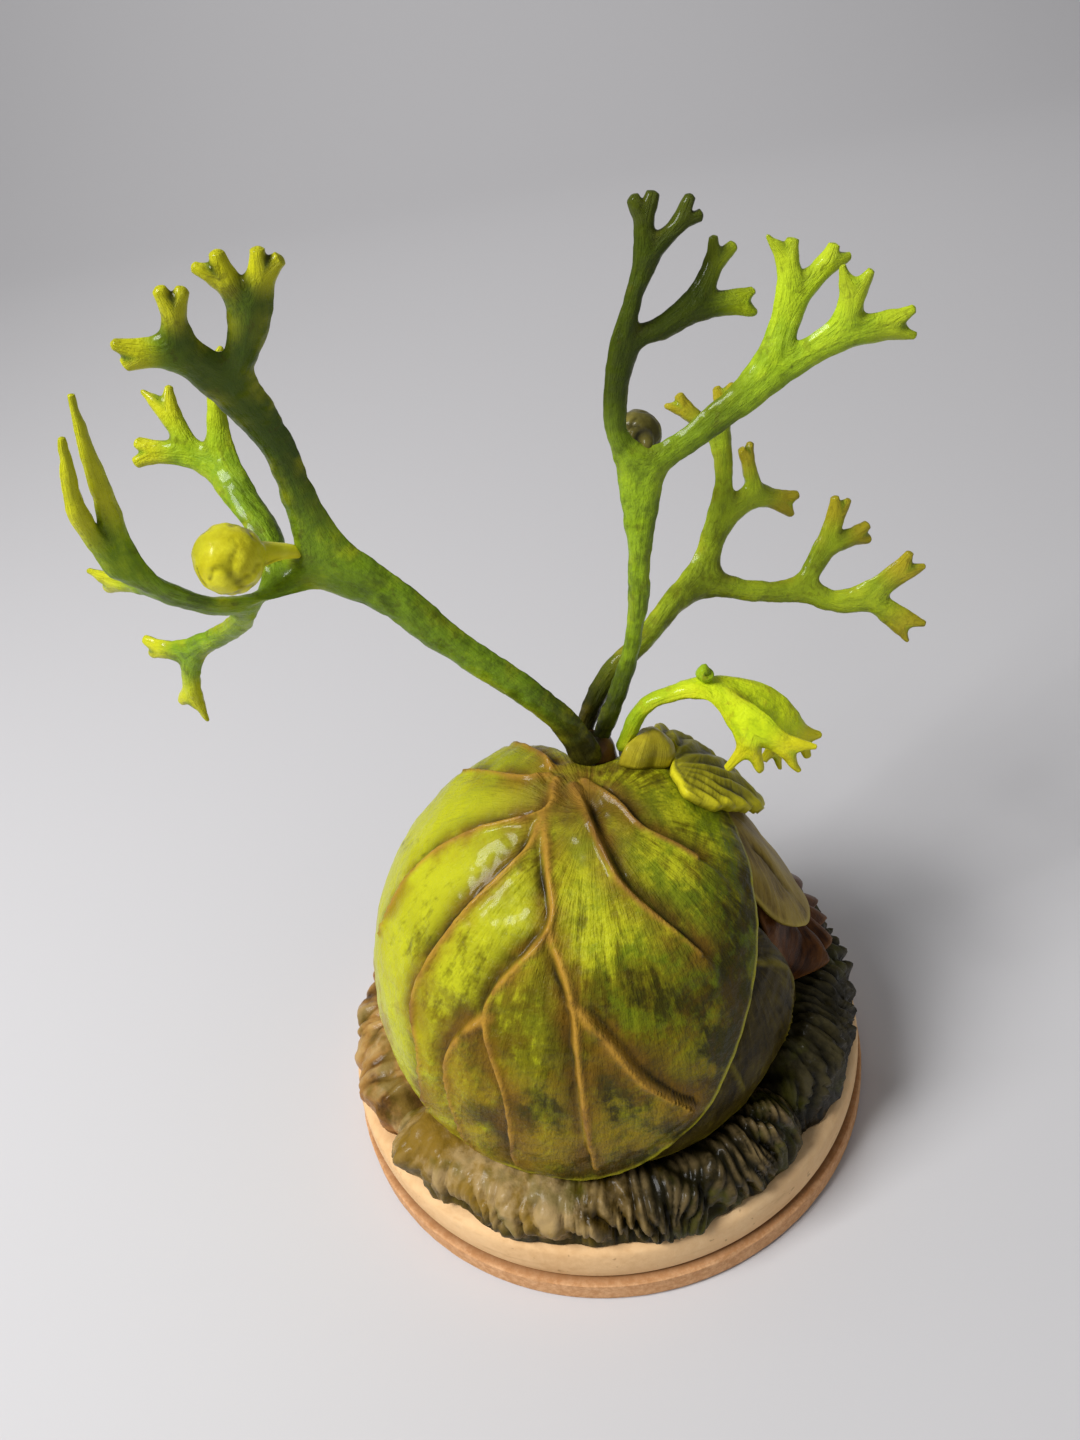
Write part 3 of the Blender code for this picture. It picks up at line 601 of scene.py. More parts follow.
class Paint:
    """A painted and varnished clay material, built up coat by coat."""

    def __init__(self, name, deep, body, light, patch=60.0, gloss=0.32, uneven=0.3, bump=0.4, brushed=0.0):
        self.material = bpy.data.materials.new(name)
        self.material.use_nodes = True
        self.tree = self.material.node_tree
        self.place = self.tree.nodes.new("ShaderNodeTexCoord").outputs["Object"]
        self.gloss, self.uneven, self.bump, self.brushed = gloss, uneven, bump, brushed
        self.wash = placed_group(self.tree, WASH, Place=self.place, Deep=deep, Body=body, Light=light,
                                 Patch=patch)
        self.colour = self.wash.outputs["Colour"]
        if brushed:
            self.strokes = noise_node(self.tree, self.mark("brush", "Vector"), 1.0, 5.0, 0.66)
            self.shade_by(0.5)

    def mark(self, name, output="Fac"):
        """A painter's mark that the mesh carries."""
        node = self.tree.nodes.new("ShaderNodeAttribute")
        node.attribute_name = name
        return node.outputs[output]

    def axis(self, axis, low, high):
        """0 to 1 along one axis of the object, in millimetres."""
        split = self.tree.nodes.new("ShaderNodeSeparateXYZ")
        self.tree.links.new(self.place, split.inputs["Vector"])
        return ramp(self.tree, split.outputs[axis], low * MM, high * MM)

    def blots(self, scale, low, high, detail=4.0, roughness=0.6):
        """Blots of noise with soft edges."""
        return ramp(self.tree, noise_node(self.tree, self.place, scale, detail, roughness), low, high)

    def times(self, *shares):
        """Shares multiplied together."""
        product = shares[0]
        for share in shares[1:]:
            product = maths(self.tree, "MULTIPLY", product, share)
        return product

    def less(self, value, taken):
        """A value with another one taken off."""
        return maths(self.tree, "SUBTRACT", value, taken)

    def broken(self, mark, scale, low, high, strength):
        """A mark broken up by a dry brush."""
        ragged = self.blots(scale, low, high)
        return maths(self.tree, "MULTIPLY", self.times(self.mark(mark), ragged), strength, True)

    def shade_by(self, value):
        """Let a value from 0, deep, to 1, light, lead the wash, broken up by the brush strokes."""
        if self.brushed:
            swing = self.times(self.less(self.strokes, 0.5), self.brushed)
            value = maths(self.tree, "ADD", swing, value)
        self.tree.links.new(value, self.wash.inputs["Shade"])

    def coat(self, share, colour):
        """Another coat over what is there, by a share."""
        self.colour = blend(self.tree, share, self.colour, colour)

    def dry_brush(self, *coats):
        """Broken coats: mark, colour, then scale, range and strength of the break."""
        for mark, colour, *how in coats:
            self.coat(self.broken(mark, *how), colour)

    def finish(self, coat=0.22):
        """Varnish over the paint."""
        varnish = placed_group(self.tree, VARNISH, Place=self.place, Gloss=self.gloss, Uneven=self.uneven)
        height = varnish.outputs["Height"]
        if self.brushed:
            height = maths(self.tree, "ADD", height, self.times(self.strokes, STROKE_HEIGHT))
        bump = self.tree.nodes.new("ShaderNodeBump")
        feed_all(self.tree, bump, Strength=self.bump, Distance=BUMP_DISTANCE, Height=height)
        feed_all(self.tree, self.tree.nodes["Principled BSDF"], Normal=bump.outputs["Normal"],
                 Roughness=varnish.outputs["Roughness"], Base_Color=self.colour, Specular_IOR_Level=SHEEN,
                 Coat_Weight=coat, Coat_Roughness=COAT_ROUGHNESS)
        return self.material


def shield_paint():
    """Lime to the upper left, olive to the right, brown below, ochre veins; painted shade to the right, low
    and in creases.
    """
    paint = Paint("shield_paint", (0.040, 0.036, 0.003), (0.165, 0.155, 0.005), (0.46, 0.47, 0.014),
                  patch=62.0, brushed=0.7, bump=1.0)
    # Painted light and shade: lighter to the left, darker to the right
    painted_light = paint.less(0.80, paint.times(paint.axis("X", -50, 40), 0.18))
    # Painted shade low down, away from the far left; the brown stains below use the same region
    low = paint.times(paint.axis("Z", 108, 80), paint.axis("X", -54, -28))
    paint.shade_by(paint.less(painted_light, paint.times(low, 0.32)))
    patches = paint.blots(64.0, 0.44, 0.58, 6.0, 0.7)
    stains = paint.blots(88.0, 0.44, 0.58, 6.0, 0.72)
    right = paint.times(paint.axis("X", -40, 20), paint.axis("Z", 40, 70))
    paint.coat(paint.times(right, patches, 0.8), (0.115, 0.170, 0.006))
    paint.coat(paint.times(low, stains, 0.72), (0.080, 0.046, 0.003))
    paint.coat(paint.times(paint.axis("Z", 92, 62), patches, 0.72), (0.30, 0.195, 0.007))
    paint.dry_brush(
        # Glaze pooled on the sunk side of each vein, and painted shade there
        ("pooled_glaze_and_shade", (0.050, 0.030, 0.003), 80.0, 0.30, 0.55, 0.85),
        ("hub", (0.14, 0.062, 0.016), 80.0, 0.25, 0.50, 0.9),
        ("wash", (0.22, 0.110, 0.009), 70.0, 0.36, 0.60, 0.75),
        ("vein", (0.42, 0.225, 0.030), 130.0, 0.28, 0.50, 0.9),
        ("vein", (0.17, 0.080, 0.020), 60.0, 0.48, 0.64, 0.75),
        # Painted shade: near-black in the creases beside the veins
        ("crease", (0.018, 0.013, 0.003), 120.0, 0.15, 0.4, 0.95),
        ("lip", (0.48, 0.44, 0.022), 110.0, 0.3, 0.55, 0.9))
    return paint.finish(coat=0.15)


def leaf_paint(name, deep, body, light, lip, patch=46.0, gloss=0.34, brushed=0.6, coat=0.05):
    """A leaf in one family of colours, with painted shade in its creases and a paler lip."""
    paint = Paint(name, deep, body, light, patch=patch, gloss=gloss, brushed=brushed)
    paint.dry_brush(
        # Painted shade in the creases, folds and cracks; on the bud the crease mark is dark mottling
        ("crease", tuple(0.25 * c for c in deep), 130.0, 0.2, 0.5, 0.85),
        ("vein", tuple(0.5 * (a + b) for a, b in zip(light, lip)), 130.0, 0.2, 0.5, 0.7),
        ("lip", lip, 120.0, 0.3, 0.6, 0.85))
    return paint.finish(coat=coat)


def frond_paint(name, root, deep, body, light, tip, spots, shade=None, tips_over=True):
    """Frond from dark at the crown through green to yellow tips.

    Painted shade darkens one arm, under the paint of the tips if tips_over, otherwise over it.
    """
    paint = Paint(name, deep, body, light, patch=40.0, brushed=0.35, bump=0.8)
    along = paint.mark("along")
    paint.shade_by(maths(paint.tree, "ADD", paint.times(along, 0.25), 0.36))
    paint.coat(ramp(paint.tree, along, 0.24, 0.04), root)
    coats = [(paint.broken("rim", 120.0, 0.44, 0.70, 0.5), tip),
             (paint.times(ramp(paint.tree, paint.mark("tip"), 0.1, 0.85), 0.85), tip)]
    # Painted shade over one arm
    if shade:
        colour, side, rise = shade
        arm = paint.times(paint.axis("X", *side), paint.axis("Z", *rise), 0.9)
        coats.insert(0 if tips_over else len(coats), (arm, colour))
    coats += [(paint.times(paint.blots(300.0, 0.60, 0.68, 3.0), 0.35), spots),
              (paint.broken("fork", 140.0, 0.3, 0.6, 0.7), spots)]
    for share, colour in coats:
        paint.coat(share, colour)
    return paint.finish()


def wood_paint():
    """Bare turned wood: cream above the groove, orange and sawn below it, painted shade in the groove."""
    paint = Paint("pale_wood", (0.68, 0.41, 0.19), (0.80, 0.52, 0.265), (0.86, 0.60, 0.33),
                  patch=14.0, gloss=0.6, uneven=0.15, bump=0.25)
    stretch = paint.tree.nodes.new("ShaderNodeMapping")
    stretch.inputs["Scale"].default_value = (22.0, 150.0, 380.0)
    paint.tree.links.new(paint.place, stretch.inputs["Vector"])
    grain = noise_node(paint.tree, stretch.outputs["Vector"], 1.0, 5.0)
    paint.coat(paint.times(ramp(paint.tree, grain, 0.52, 0.74), 0.4), (0.50, 0.28, 0.12))
    paint.coat(paint.times(paint.blots(330.0, 0.68, 0.74, 2.0), 0.5), (0.30, 0.15, 0.06))
    fibres = paint.blots(520.0, 0.35, 0.7, 5.0, 0.75)
    sawn = blend(paint.tree, fibres, (0.54, 0.27, 0.115), (0.74, 0.43, 0.22))
    paint.coat(paint.axis("Z", SAWN_BAND + 0.9, SAWN_BAND + 0.1), sawn)
    # Painted shade in the groove
    paint.coat(paint.mark("groove"), (0.24, 0.11, 0.04))
    return paint.finish(coat=0.0)


def collar_paint(name, deep, body, light, ridge, lower, fade=0.0, upper=None):
    """Old fronds: painted shade in wrinkles and to the right by the fade, painted highlights on dry-brushed
    ridges.
    """
    paint = Paint(name, deep, body, light, gloss=0.34, bump=0.6)
    # Painted light and shade: lighter to the left, darker to the right by the fade
    dusk = paint.times(paint.axis("X", -45, 35), fade)
    paint.shade_by(paint.less(0.5 + 0.4 * fade, dusk))
    # The underside: painted shade under the front roll and the right folds, orange rust under the left strip
    paint.dry_brush(("lower", lower, 90.0, 0.25, 0.6, 0.8))
    # Paler top towards the left: painted light, in patches
    if upper:
        top = paint.less(1.0, paint.mark("lower"))
        light_patches = paint.blots(70.0, 0.44, 0.60, 5.0, 0.65)
        paint.coat(paint.times(top, light_patches, paint.axis("X", 8, -22), 0.75), upper)
    # Dry-brushed pale ridges, kept off the shaded right: dry brushing with painted highlights
    ridges = paint.broken("ridge", 170.0, 0.3, 0.62, 0.85)
    paint.coat(paint.times(ridges, paint.less(1.0, dusk)), ridge)
    paint.coat(paint.times(paint.blots(75.0, 0.52, 0.66, 3.0), 0.5), (0.070, 0.070, 0.005))
    # Painted shade in the creases of the wrinkles
    paint.dry_brush(("crease", tuple(0.3 * c for c in deep), 150.0, 0.1, 0.4, 0.95))
    return paint.finish(coat=0.09)


def plain_clay(name, deep, body, light):
    """Unpainted or hidden clay and wire."""
    return Paint(name, deep, body, light, patch=120.0, gloss=0.75, uneven=0.1).finish(coat=0.0)


# Pieces

def wooden_base():
    """Turned disc: a sawn band, a groove and a rounded band above it."""
    upper = BASE_RADIUS - MOULDING_INSET
    groove_top = SAWN_BAND + GROOVE_WIDTH
    # Profile points: radius, height, and the groove mark, which paints shade into the groove
    profile = [(0.0, 0.0, 0), (BASE_RADIUS - FOOT_BEVEL, 0.0, 0), (BASE_RADIUS - 0.3, 0.3, 0)]
    profile += [(BASE_RADIUS, 1.0 + (SAWN_BAND - 1.6) * k / 6, 0) for k in range(7)]
    profile += [(BASE_RADIUS - 0.5, SAWN_BAND - 0.1, 0.3), (BASE_RADIUS - GROOVE_DEPTH, SAWN_BAND + 0.1, 1),
                (BASE_RADIUS - GROOVE_DEPTH, groove_top - 0.1, 1)]
    for k in range(MOULDING_STEPS + 1):
        share = k / MOULDING_STEPS
        swell = MOULDING_BULGE * math.sin(math.pi * min(1.0, 0.1 + 0.8 * share))
        shoulder = SHOULDER * max(0.0, (share - SHOULDER_START) / (1 - SHOULDER_START)) ** 2
        height = groove_top + share * (BASE_TOP - groove_top)
        profile.append((upper - MOULDING_BULGE + swell - shoulder, height, 0))
    profile += [(upper - 4.0, BASE_TOP, 0), (upper - 30.0, BASE_TOP, 0), (0.0, BASE_TOP, 0)]
    points, groove = [], []
    for number, (radius, z, dark) in enumerate(profile):
        for a in ring_angles(BASE_SIDES):
            spot = Vector((math.cos(a), math.sin(a), 0)) * radius + Vector((0, 0, z))
            if number in SAWN_RINGS:
                mark = wobble(math.cos(a) * SAW_MARKS, math.sin(a) * SAW_MARKS, z * SAW_MARK_RISE)
                spot *= 1 - SAWN_ROUGHNESS * abs(mark)
            points.append(spot)
            groove.append(dark)
    faces = sheet(ring_numbers(len(profile), BASE_SIDES))
    made = clay_piece("turned_base", points, faces, wood_paint(), "wooden_base",
                      {"groove": groove})
    shape = bmesh.new()
    shape.from_mesh(made.data)
    bmesh.ops.remove_doubles(shape, verts=shape.verts, dist=1e-6)
    shape.to_mesh(made.data)
    shape.free()
    made.data.shade_smooth()
    made.data.set_sharp_from_angle(angle=SHARP_ANGLE)


def collar_height(azimuth):
    """Height of the collar, which swells to the right."""
    away = np.abs((azimuth - SWELL_AZIMUTH + 180) % 360 - 180) / SWELL_SPAN
    return ROLL_HEIGHT + RIGHT_SWELL * np.maximum(0.0, 1 - away * away) ** 2


def pinched_folds(arc, lean, pitch, slant, sharp):
    """How far up an uneven fold a point of the collar lies, from 0 in the crease to 1 on the ridge."""
    slide = arc + slant * lean
    for reach, span, twist, seed in FOLD_DRIFTS:
        slide += reach * wobble(arc / span, twist * lean, seed)
    return abs(math.sin(math.pi * slide / pitch)) ** sharp


def roll_wrinkles(arc, lean):
    """Folds with crinkles between: deep to the right, only on the lower half to the left."""
    patch = 0.5 + wobble(arc / 13, 0.8 * lean, 8.0)
    deep = step_up(arc, -42, 6)
    strength = (0.5 + 0.5 * deep) * min(1.2, max(0.45, 0.45 + patch))
    strength *= 1 - 0.6 * (1 - deep) * step_up(lean, 0.15, 0.42)
    folds = pinched_folds(arc, lean, *ROLL_FOLDS)
    wave = 0.66 * folds + 0.34 * pinched_folds(arc + 40, lean, *ROLL_CRINKLES)
    return wave, strength


def strip_dents(arc, lean):
    """Two crossing rows of thumbnail dents."""
    wave = 0.5 * pinched_folds(arc, lean, *DENTS_UP) + 0.5 * pinched_folds(arc, lean, *DENTS_DOWN)
    return wave, 0.8


def crumpled_folds(arc, lean):
    """Sharp uneven folds running down the slope."""
    folds = pinched_folds(arc, lean, *CRUMPLED_FOLDS)
    wave = 0.7 * folds + 0.3 * pinched_folds(arc + 25, lean, *CRUMPLED_CRINKLES)
    return wave, 0.85 + 0.4 * wobble(arc / 14, 1.0, lean)


def collar_piece(name, node, start, end, wrinkles, depth, material):
    """Stretch of the collar between two azimuths, as a roll with wrinkles across it."""
    steps = round((end - start) * STEPS_PER_DEGREE)
    shift = DOME_FORWARD - COLLAR_FORWARD
    core_side = CORE_RADIUS + CLEARANCE
    floor = BASE_TOP + CLEARANCE
    points = []
    marks = {"ridge": [], "crease": [], "lower": []}
    for step in range(steps + 1):
        azimuth = start + (end - start) * step / steps
        turn = math.radians(azimuth)
        outward = Vector((math.sin(turn), -math.cos(turn), 0))
        inner = shift * math.cos(turn) + math.sqrt(core_side ** 2 - (shift * math.sin(turn)) ** 2)
        wavy = sum(reach * wobble(azimuth / span, seed, 0.0) for reach, span, seed in EDGE_WAVES)
        half = (COLLAR_RADIUS + wavy - inner) / 2
        top = collar_height(azimuth)
        arc = turn * COLLAR_ARC_RADIUS
        closing = min(1.0, END_SLOPE * min(step, steps - step) / steps + END_HEIGHT)
        for a in ring_angles(COLLAR_SIDES):
            rise = 0.5 + (0.5 if math.sin(a) > 0 else 0.8) * math.sin(a)
            lean = (a if a < 1.5 * math.pi else a - math.tau) / math.pi
            wave, strength = wrinkles(arc, lean)
            outer = 0.5 + 0.5 * max(0.0, math.cos(a))
            sink = depth * strength * outer * (1 - wave) * clamp(rise * 4) + 0.2
            reach = inner + half + (half - sink) * math.cos(a) * (closing if math.cos(a) > 0 else 1)
            z = floor + max(0.0, (top - sink) * rise * closing)
            spot = Vector((0, -COLLAR_FORWARD, z)) + outward * reach
            lump = sum(height * noise.noise(spot / size) for height, size in COLLAR_LUMPS)
            if rise > 0.05:
                spot += outward * (lump * math.cos(a)) + Vector((0, 0, lump * math.sin(a)))
            spot.z = max(spot.z, floor)
            points.append(spot)
            # The crease mark is painted shade: in the folds and under the roll
            shadow = clamp(1 - 1.6 * wave) * min(1.0, 1.5 * strength) + max(0.0, 0.5 - 3 * rise)
            # Ridges on the upper side: pale dry brush, partly painted highlight
            marks["ridge"].append(clamp(3.4 * wave - 2.1) * strength * step_up(rise, 0.15, 0.7))
            marks["crease"].append(clamp(shadow))
            marks["lower"].append(1 - step_up(rise, 0.35, 0.75))
    faces = closed_sheet(steps + 1, COLLAR_SIDES)
    clay_piece(name, points, faces, material, node, marks)


def collars():
    """The collar in four stretches: front, right, back and left."""
    front = collar_paint("front_roll_paint", (0.010, 0.008, 0.002), (0.066, 0.039, 0.005),
                         (0.22, 0.130, 0.016), (0.40, 0.28, 0.12), (0.045, 0.034, 0.003),
                         fade=0.55, upper=(0.43, 0.30, 0.14))
    left = collar_paint("left_strip_paint", (0.095, 0.042, 0.009), (0.30, 0.155, 0.038),
                        (0.44, 0.26, 0.075), (0.50, 0.34, 0.14), (0.40, 0.17, 0.04))
    # Near-black paint for the right folds, on the shaded side: partly their own dark colour, partly painted
    # shade
    dark = collar_paint("crumpled_paint", (0.005, 0.005, 0.002), (0.018, 0.015, 0.006),
                        (0.050, 0.040, 0.015), (0.085, 0.070, 0.030), (0.010, 0.008, 0.003))
    collar_piece("wrinkled_front_roll", "front_collar_roll", -64, 43, roll_wrinkles, ROLL_DEPTH, front)
    collar_piece("crumpled_right_folds", "right_collar_folds", 42, 119, crumpled_folds, CRUMPLE_DEPTH, dark)
    collar_piece("wrinkled_back_roll", "back_collar_roll", 118, 233, roll_wrinkles, BACK_DEPTH, front)
    collar_piece("dented_left_strip", "left_collar_strip", 232, 297, strip_dents, DENT_DEPTH, left)


def blocked(points, crown_radius):
    """True where a leaf would run into the crown or the collar."""
    beside = np.hypot(points[..., 0] - CROWN.x, points[..., 1] - CROWN.y)
    azimuth = np.degrees(np.arctan2(points[..., 0], -points[..., 1] - COLLAR_FORWARD))
    collar = BASE_TOP + CLEARANCE + collar_height(azimuth)
    return (beside < crown_radius) | (points[..., 2] < collar + EDGE_GAP)


def flat_lift(directions):
    """A leaf that lies on the dome."""
    return np.zeros(directions.shape[:-1])


def uncovered(directions, edge):
    """0 up to the azimuth where the edge of a leaf on top lies, easing to 1 beyond it."""
    return np.clip((azimuth_of(directions) - edge) / COVER_EASE, 0, 1)


def flare(height, start, end, edge):
    """Lift of a leaf that leaves the dome between two polar angles, beyond the edge of a leaf on top."""
    def lift(directions):
        below = np.clip((polar_of(directions) - start) / (end - start), 0, 1)
        return height * uncovered(directions, edge) * below ** 2
    return lift


def tilted(height, start, end):
    """Lift of a leaf that stands away from the dome from one azimuth to another."""
    def lift(directions):
        return height * step_up(azimuth_of(directions) % 360, start, end)
    return lift


def leaf(name, node, hub, outline, inner, surface, material, grid, wavy=0.0, lift=flat_lift,
         crown_radius=PLUG_RADIUS + EDGE_GAP):
    """A leaf moulded on the dome, out to its outline, with a thin lip, on a grid of spokes and rings."""
    spokes, rings = grid
    middle, down, side = hub_axes(*hub)
    angles = -180 + 360 * np.arange(spokes) / spokes
    turns = np.radians(angles)
    along = np.outer(np.cos(turns), down) + np.outer(np.sin(turns), side)
    ripple = np.array([wobble(math.cos(t) * RIPPLES, math.sin(t) * RIPPLES, hub[0]) for t in turns])
    reach = np.radians(round_curve(outline, angles) + wavy * ripple)
    arcs = np.radians(np.arange(SCAN_STEP, SCAN_END, SCAN_STEP))
    fan = middle * np.cos(arcs)[:, None] + along[:, None] * np.sin(arcs)[:, None]
    under = inner + lift(fan)
    stop = blocked(dome_points(fan, under), crown_radius)
    stop |= blocked(dome_points(fan, under + LEAF_THICKNESS), crown_radius)
    first = np.where(stop.any(1), stop.argmax(1), len(arcs) - 1)
    reach = np.minimum(reach, arcs[first])
    ease = math.radians(EDGE_EASE * 360 / spokes)
    order = list(range(spokes)) * 2
    for k in order + order[::-1]:
        reach[k] = min(reach[k], min(reach[k - 1], reach[(k + 1) % spokes]) + ease)
    share = (np.arange(1, rings + 1) / rings)[:, None]
    arc = share * reach
    directions = middle * np.cos(arc)[..., None] + along * np.sin(arc)[..., None]
    relief, marks = surface(directions, share, angles)
    body = LEAF_EDGE + (LEAF_THICKNESS - LEAF_EDGE) * (1 - share ** LIP_SHARPNESS)
    under = inner + lift(directions)
    upper = dome_points(directions, under + body + relief)
    top = upper[0].mean(0)
    under_rings = [r for r in range(rings) if (rings - 1 - r) % UNDERSIDE_EVERY == 0]
    lower = dome_points(directions[under_rings], under[under_rings])
    low = dome_points(middle, under[0].mean())
    stroke = np.stack([BRUSH_SWEEP * np.cos(turns), BRUSH_SWEEP * np.sin(turns), np.zeros(spokes)], 1)
    stroke = stroke + (np.degrees(arc) / BRUSH_REACH)[..., None] * np.array((0, 0, 1))
    points = [top, low, *upper.reshape(-1, 3), *lower.reshape(-1, 3)]
    spread = {}
    for mark, values in [*marks.items(), ("brush", stroke)]:
        values = np.broadcast_to(values, relief.shape) if mark != "brush" else values
        ends = np.repeat(values[:1].mean(1), 2, axis=0)
        rest = [part.reshape(-1, *values.shape[2:]) for part in (values, values[under_rings])]
        spread[mark] = np.concatenate([ends, *rest])
    above = ring_numbers(rings, spokes, 2)
    below = ring_numbers(len(under_rings), spokes, 2 + rings * spokes)
    faces = []
    for k in range(spokes):
        after = (k + 1) % spokes
        faces += [(0, above[0][k], above[0][after]), (1, below[0][after], below[0][k])]
    faces += sheet(above) + sheet(below) + skin(above[-1], below[-1])
    clay_piece(name, points, faces, material, node, spread)


def vein_table(veins, thick):
    """For each vein on the unit ball: places, headings, widths, crease side and shares of the length."""
    table = []
    for vein in veins:
        corners = [dome_direction(*corner) for corner in vein]
        shares = np.arange(VEIN_SAMPLES) / VEIN_SAMPLES
        path = [curve_point(corners, k, t) for k in range(len(corners) - 1) for t in shares]
        path = np.array(path + [corners[-1]])
        path /= np.linalg.norm(path, axis=1)[:, None]
        heading = np.gradient(path, axis=0)
        heading /= np.linalg.norm(heading, axis=1)[:, None]
        widths = np.linspace(thick, 0.5 * thick, len(path))
        side = -1.0 if vein[-1][0] < CREASE_TURN else 1.0
        table.append((path, heading, widths, side, np.linspace(0, 1, len(path))))
    return table


def veined(veins, hub=None, thick=1.3, height=1.2, crease_depth=1.0, drop=0.7, terrace=1.3):
    """Raised veins, each with a crease and a sunken strip of blade on one side."""
    table = vein_table(veins, thick)
    size = CORE_RADIUS + layer(4)
    root = dome_direction(*hub) if hub else None

    def surface(directions, share, angles):
        grid = directions.shape[:2]
        flat = directions.reshape(-1, 3)
        chunks = np.array_split(flat, 40)
        points = dome_points(flat, layer(3))
        uneven = 1 + 0.35 * lumps(points, 4.0)
        creased = np.clip(0.7 + 1.2 * lumps(points, 14.0, 5.0), 0, 1)
        ridge, crease, sunk, raised, total, wash, mark = np.zeros((7, len(flat)))
        for places, headings, widths, side, starts in table:
            near = np.concatenate([np.argmax(chunk @ places.T, axis=1) for chunk in chunks])
            away = flat - places[near]
            distance = np.linalg.norm(away, axis=1) * size
            swing = np.einsum("ij,ij->i", np.cross(headings[near], away), flat) * size * side
            width = widths[near] * uneven
            settled = step_up(starts[near], 0.02, 0.22)
            weight = (distance + 1) ** -4
            total += weight
            ridge = np.maximum(ridge, np.exp(-(distance / width) ** 2))
            groove = np.exp(-((distance - 1.4 * width) / (0.55 * width + 0.35)) ** 2) * creased * settled
            crease = np.maximum(crease, groove * step_up(swing / (distance + 0.01), 0.2, 0.7))
            sunk += weight * settled * np.exp(-(distance / SUNK_REACH) ** 2) * step_up(swing, 0.2, 2.2)
            raised += weight * settled * np.exp(-(distance / RAISED_REACH) ** 2) * step_up(-swing, -1.2, 0.6)
            mark = np.maximum(mark, 1.3 * np.exp(-(distance / (1.05 * width)) ** 2) - 0.15)
            wash = np.maximum(wash, np.exp(-(distance / WASH_REACH) ** 2))
        crease *= 1 - ridge
        sunk /= total
        raised /= total
        from_edge = np.broadcast_to(1 - share, grid).ravel()
        relief = height * ridge - crease_depth * crease - drop * sunk + terrace * raised
        relief *= np.clip(9 * from_edge, 0, 1)
        relief += 0.4 * lumps(points, 9.0, 2.0) + 0.25 * lumps(points, 2.8, 9.0)
        # Beside each vein's crease: glaze pooled on the sunk side, and painted shade there
        marks = {"vein": np.clip(mark, 0, 1), "crease": np.clip(crease * 1.2, 0, 1),
                 "lip": step_up(from_edge, 0.030, 0.006), "wash": wash, "pooled_glaze_and_shade": np.clip(1.4 * sunk, 0, 1)}
        if root is not None:
            marks["hub"] = np.exp(-((np.linalg.norm(flat - root, axis=1) * size) / HUB_REACH) ** 2)
        relief = np.maximum(relief, -DEEPEST_CREASE).reshape(grid)
        return relief, {mark: values.reshape(grid) for mark, values in marks.items()}
    return surface


def pleated(count, height, hinge, lip_from):
    """Pleats that fan out from a hinge and deepen towards a thick rim."""
    middle, down, side = hub_axes(*hinge)

    def surface(directions, share, angles):
        points = dome_points(directions, layer(3))
        turn = np.arctan2(directions @ side, directions @ down) + 0.12 * lumps(points, 7.0, 4.0)
        wave = 0.5 + 0.5 * np.cos(turn * count)
        from_hinge = np.degrees(np.arccos(np.clip(directions @ middle, -1, 1)))
        grow_out = step_up(from_hinge, 3, 20)
        rim = step_up(share, lip_from, 0.97)
        relief = height * wave * grow_out + 0.7 * rim + 0.25 * lumps(points, 3.0)
        return relief, {"crease": np.clip(1 - 3.0 * wave, 0, 1) * grow_out * (1 - rim),
                        "vein": np.clip(2 * wave - 1.3, 0, 1) * grow_out * (1 - rim), "lip": rim}
    return surface


def folded(count):
    """Folds down a dead frond, deepening below a polar angle, beyond the edge of the olive shield."""
    def surface(directions, share, angles):
        points = dome_points(directions, layer(3))
        drift = 1.2 * lumps(points, 12.0, 6.0)
        wave = np.abs(np.cos(np.radians(angles) * count / 2 + drift))
        deep = np.clip((polar_of(directions) - FOLD_START) / FOLD_RISE, 0, 1)
        deep *= uncovered(directions, OLIVE_EDGE)
        relief = FOLD_HEIGHT * wave * deep + 0.4 * lumps(points, 4.5, 1.0)
        return relief, {"crease": np.clip(1 - 2.6 * wave, 0, 1) * deep,
                        "vein": np.clip(3 * wave - 2.2, 0, 1) * deep, "lip": step_up(share, 0.93, 1.0)}
    return surface


def dry_surface(directions, share, angles):
    """Stiff papery blade with long streaks and one crack."""
    points = dome_points(directions, layer(2))
    azimuth, polar = azimuth_of(directions), polar_of(directions)
    streak = np.sin(np.radians(azimuth) * 26 + 1.5 * lumps(points, 9.0))
    line = azimuth - 82 - 1.6 * lumps(points, 6.0, 3.0)
    crack = np.exp(-(line / 1.1) ** 2) * step_up(polar, 50, 55) * step_up(polar, 72, 68)
    relief = 0.18 * streak + 0.3 * lumps(points, 8.0) - 0.9 * crack
    return relief, {"crease": np.clip(crack + 0.25 * np.clip(-streak, 0, 1), 0, 1),
                    "vein": np.clip(streak, 0, 1) * 0.5, "lip": step_up(share, 0.95, 0.99)}


def bud_surface(directions, share, angles):
    """Egg-shaped lumpy top."""
    points = dome_points(directions, layer(4))
    egg = 5.4 * np.sqrt(np.clip(1 - share ** 2, 0, 1))
    relief = egg + 0.7 * lumps(points, 4.0) + 0.3 * lumps(points, 1.8)
    return relief, {"crease": np.clip(-1.6 * lumps(points, 3.0, 5.0) - 0.3, 0, 1),
                    "lip": np.clip(1 - 1.4 * share, 0, 1)}


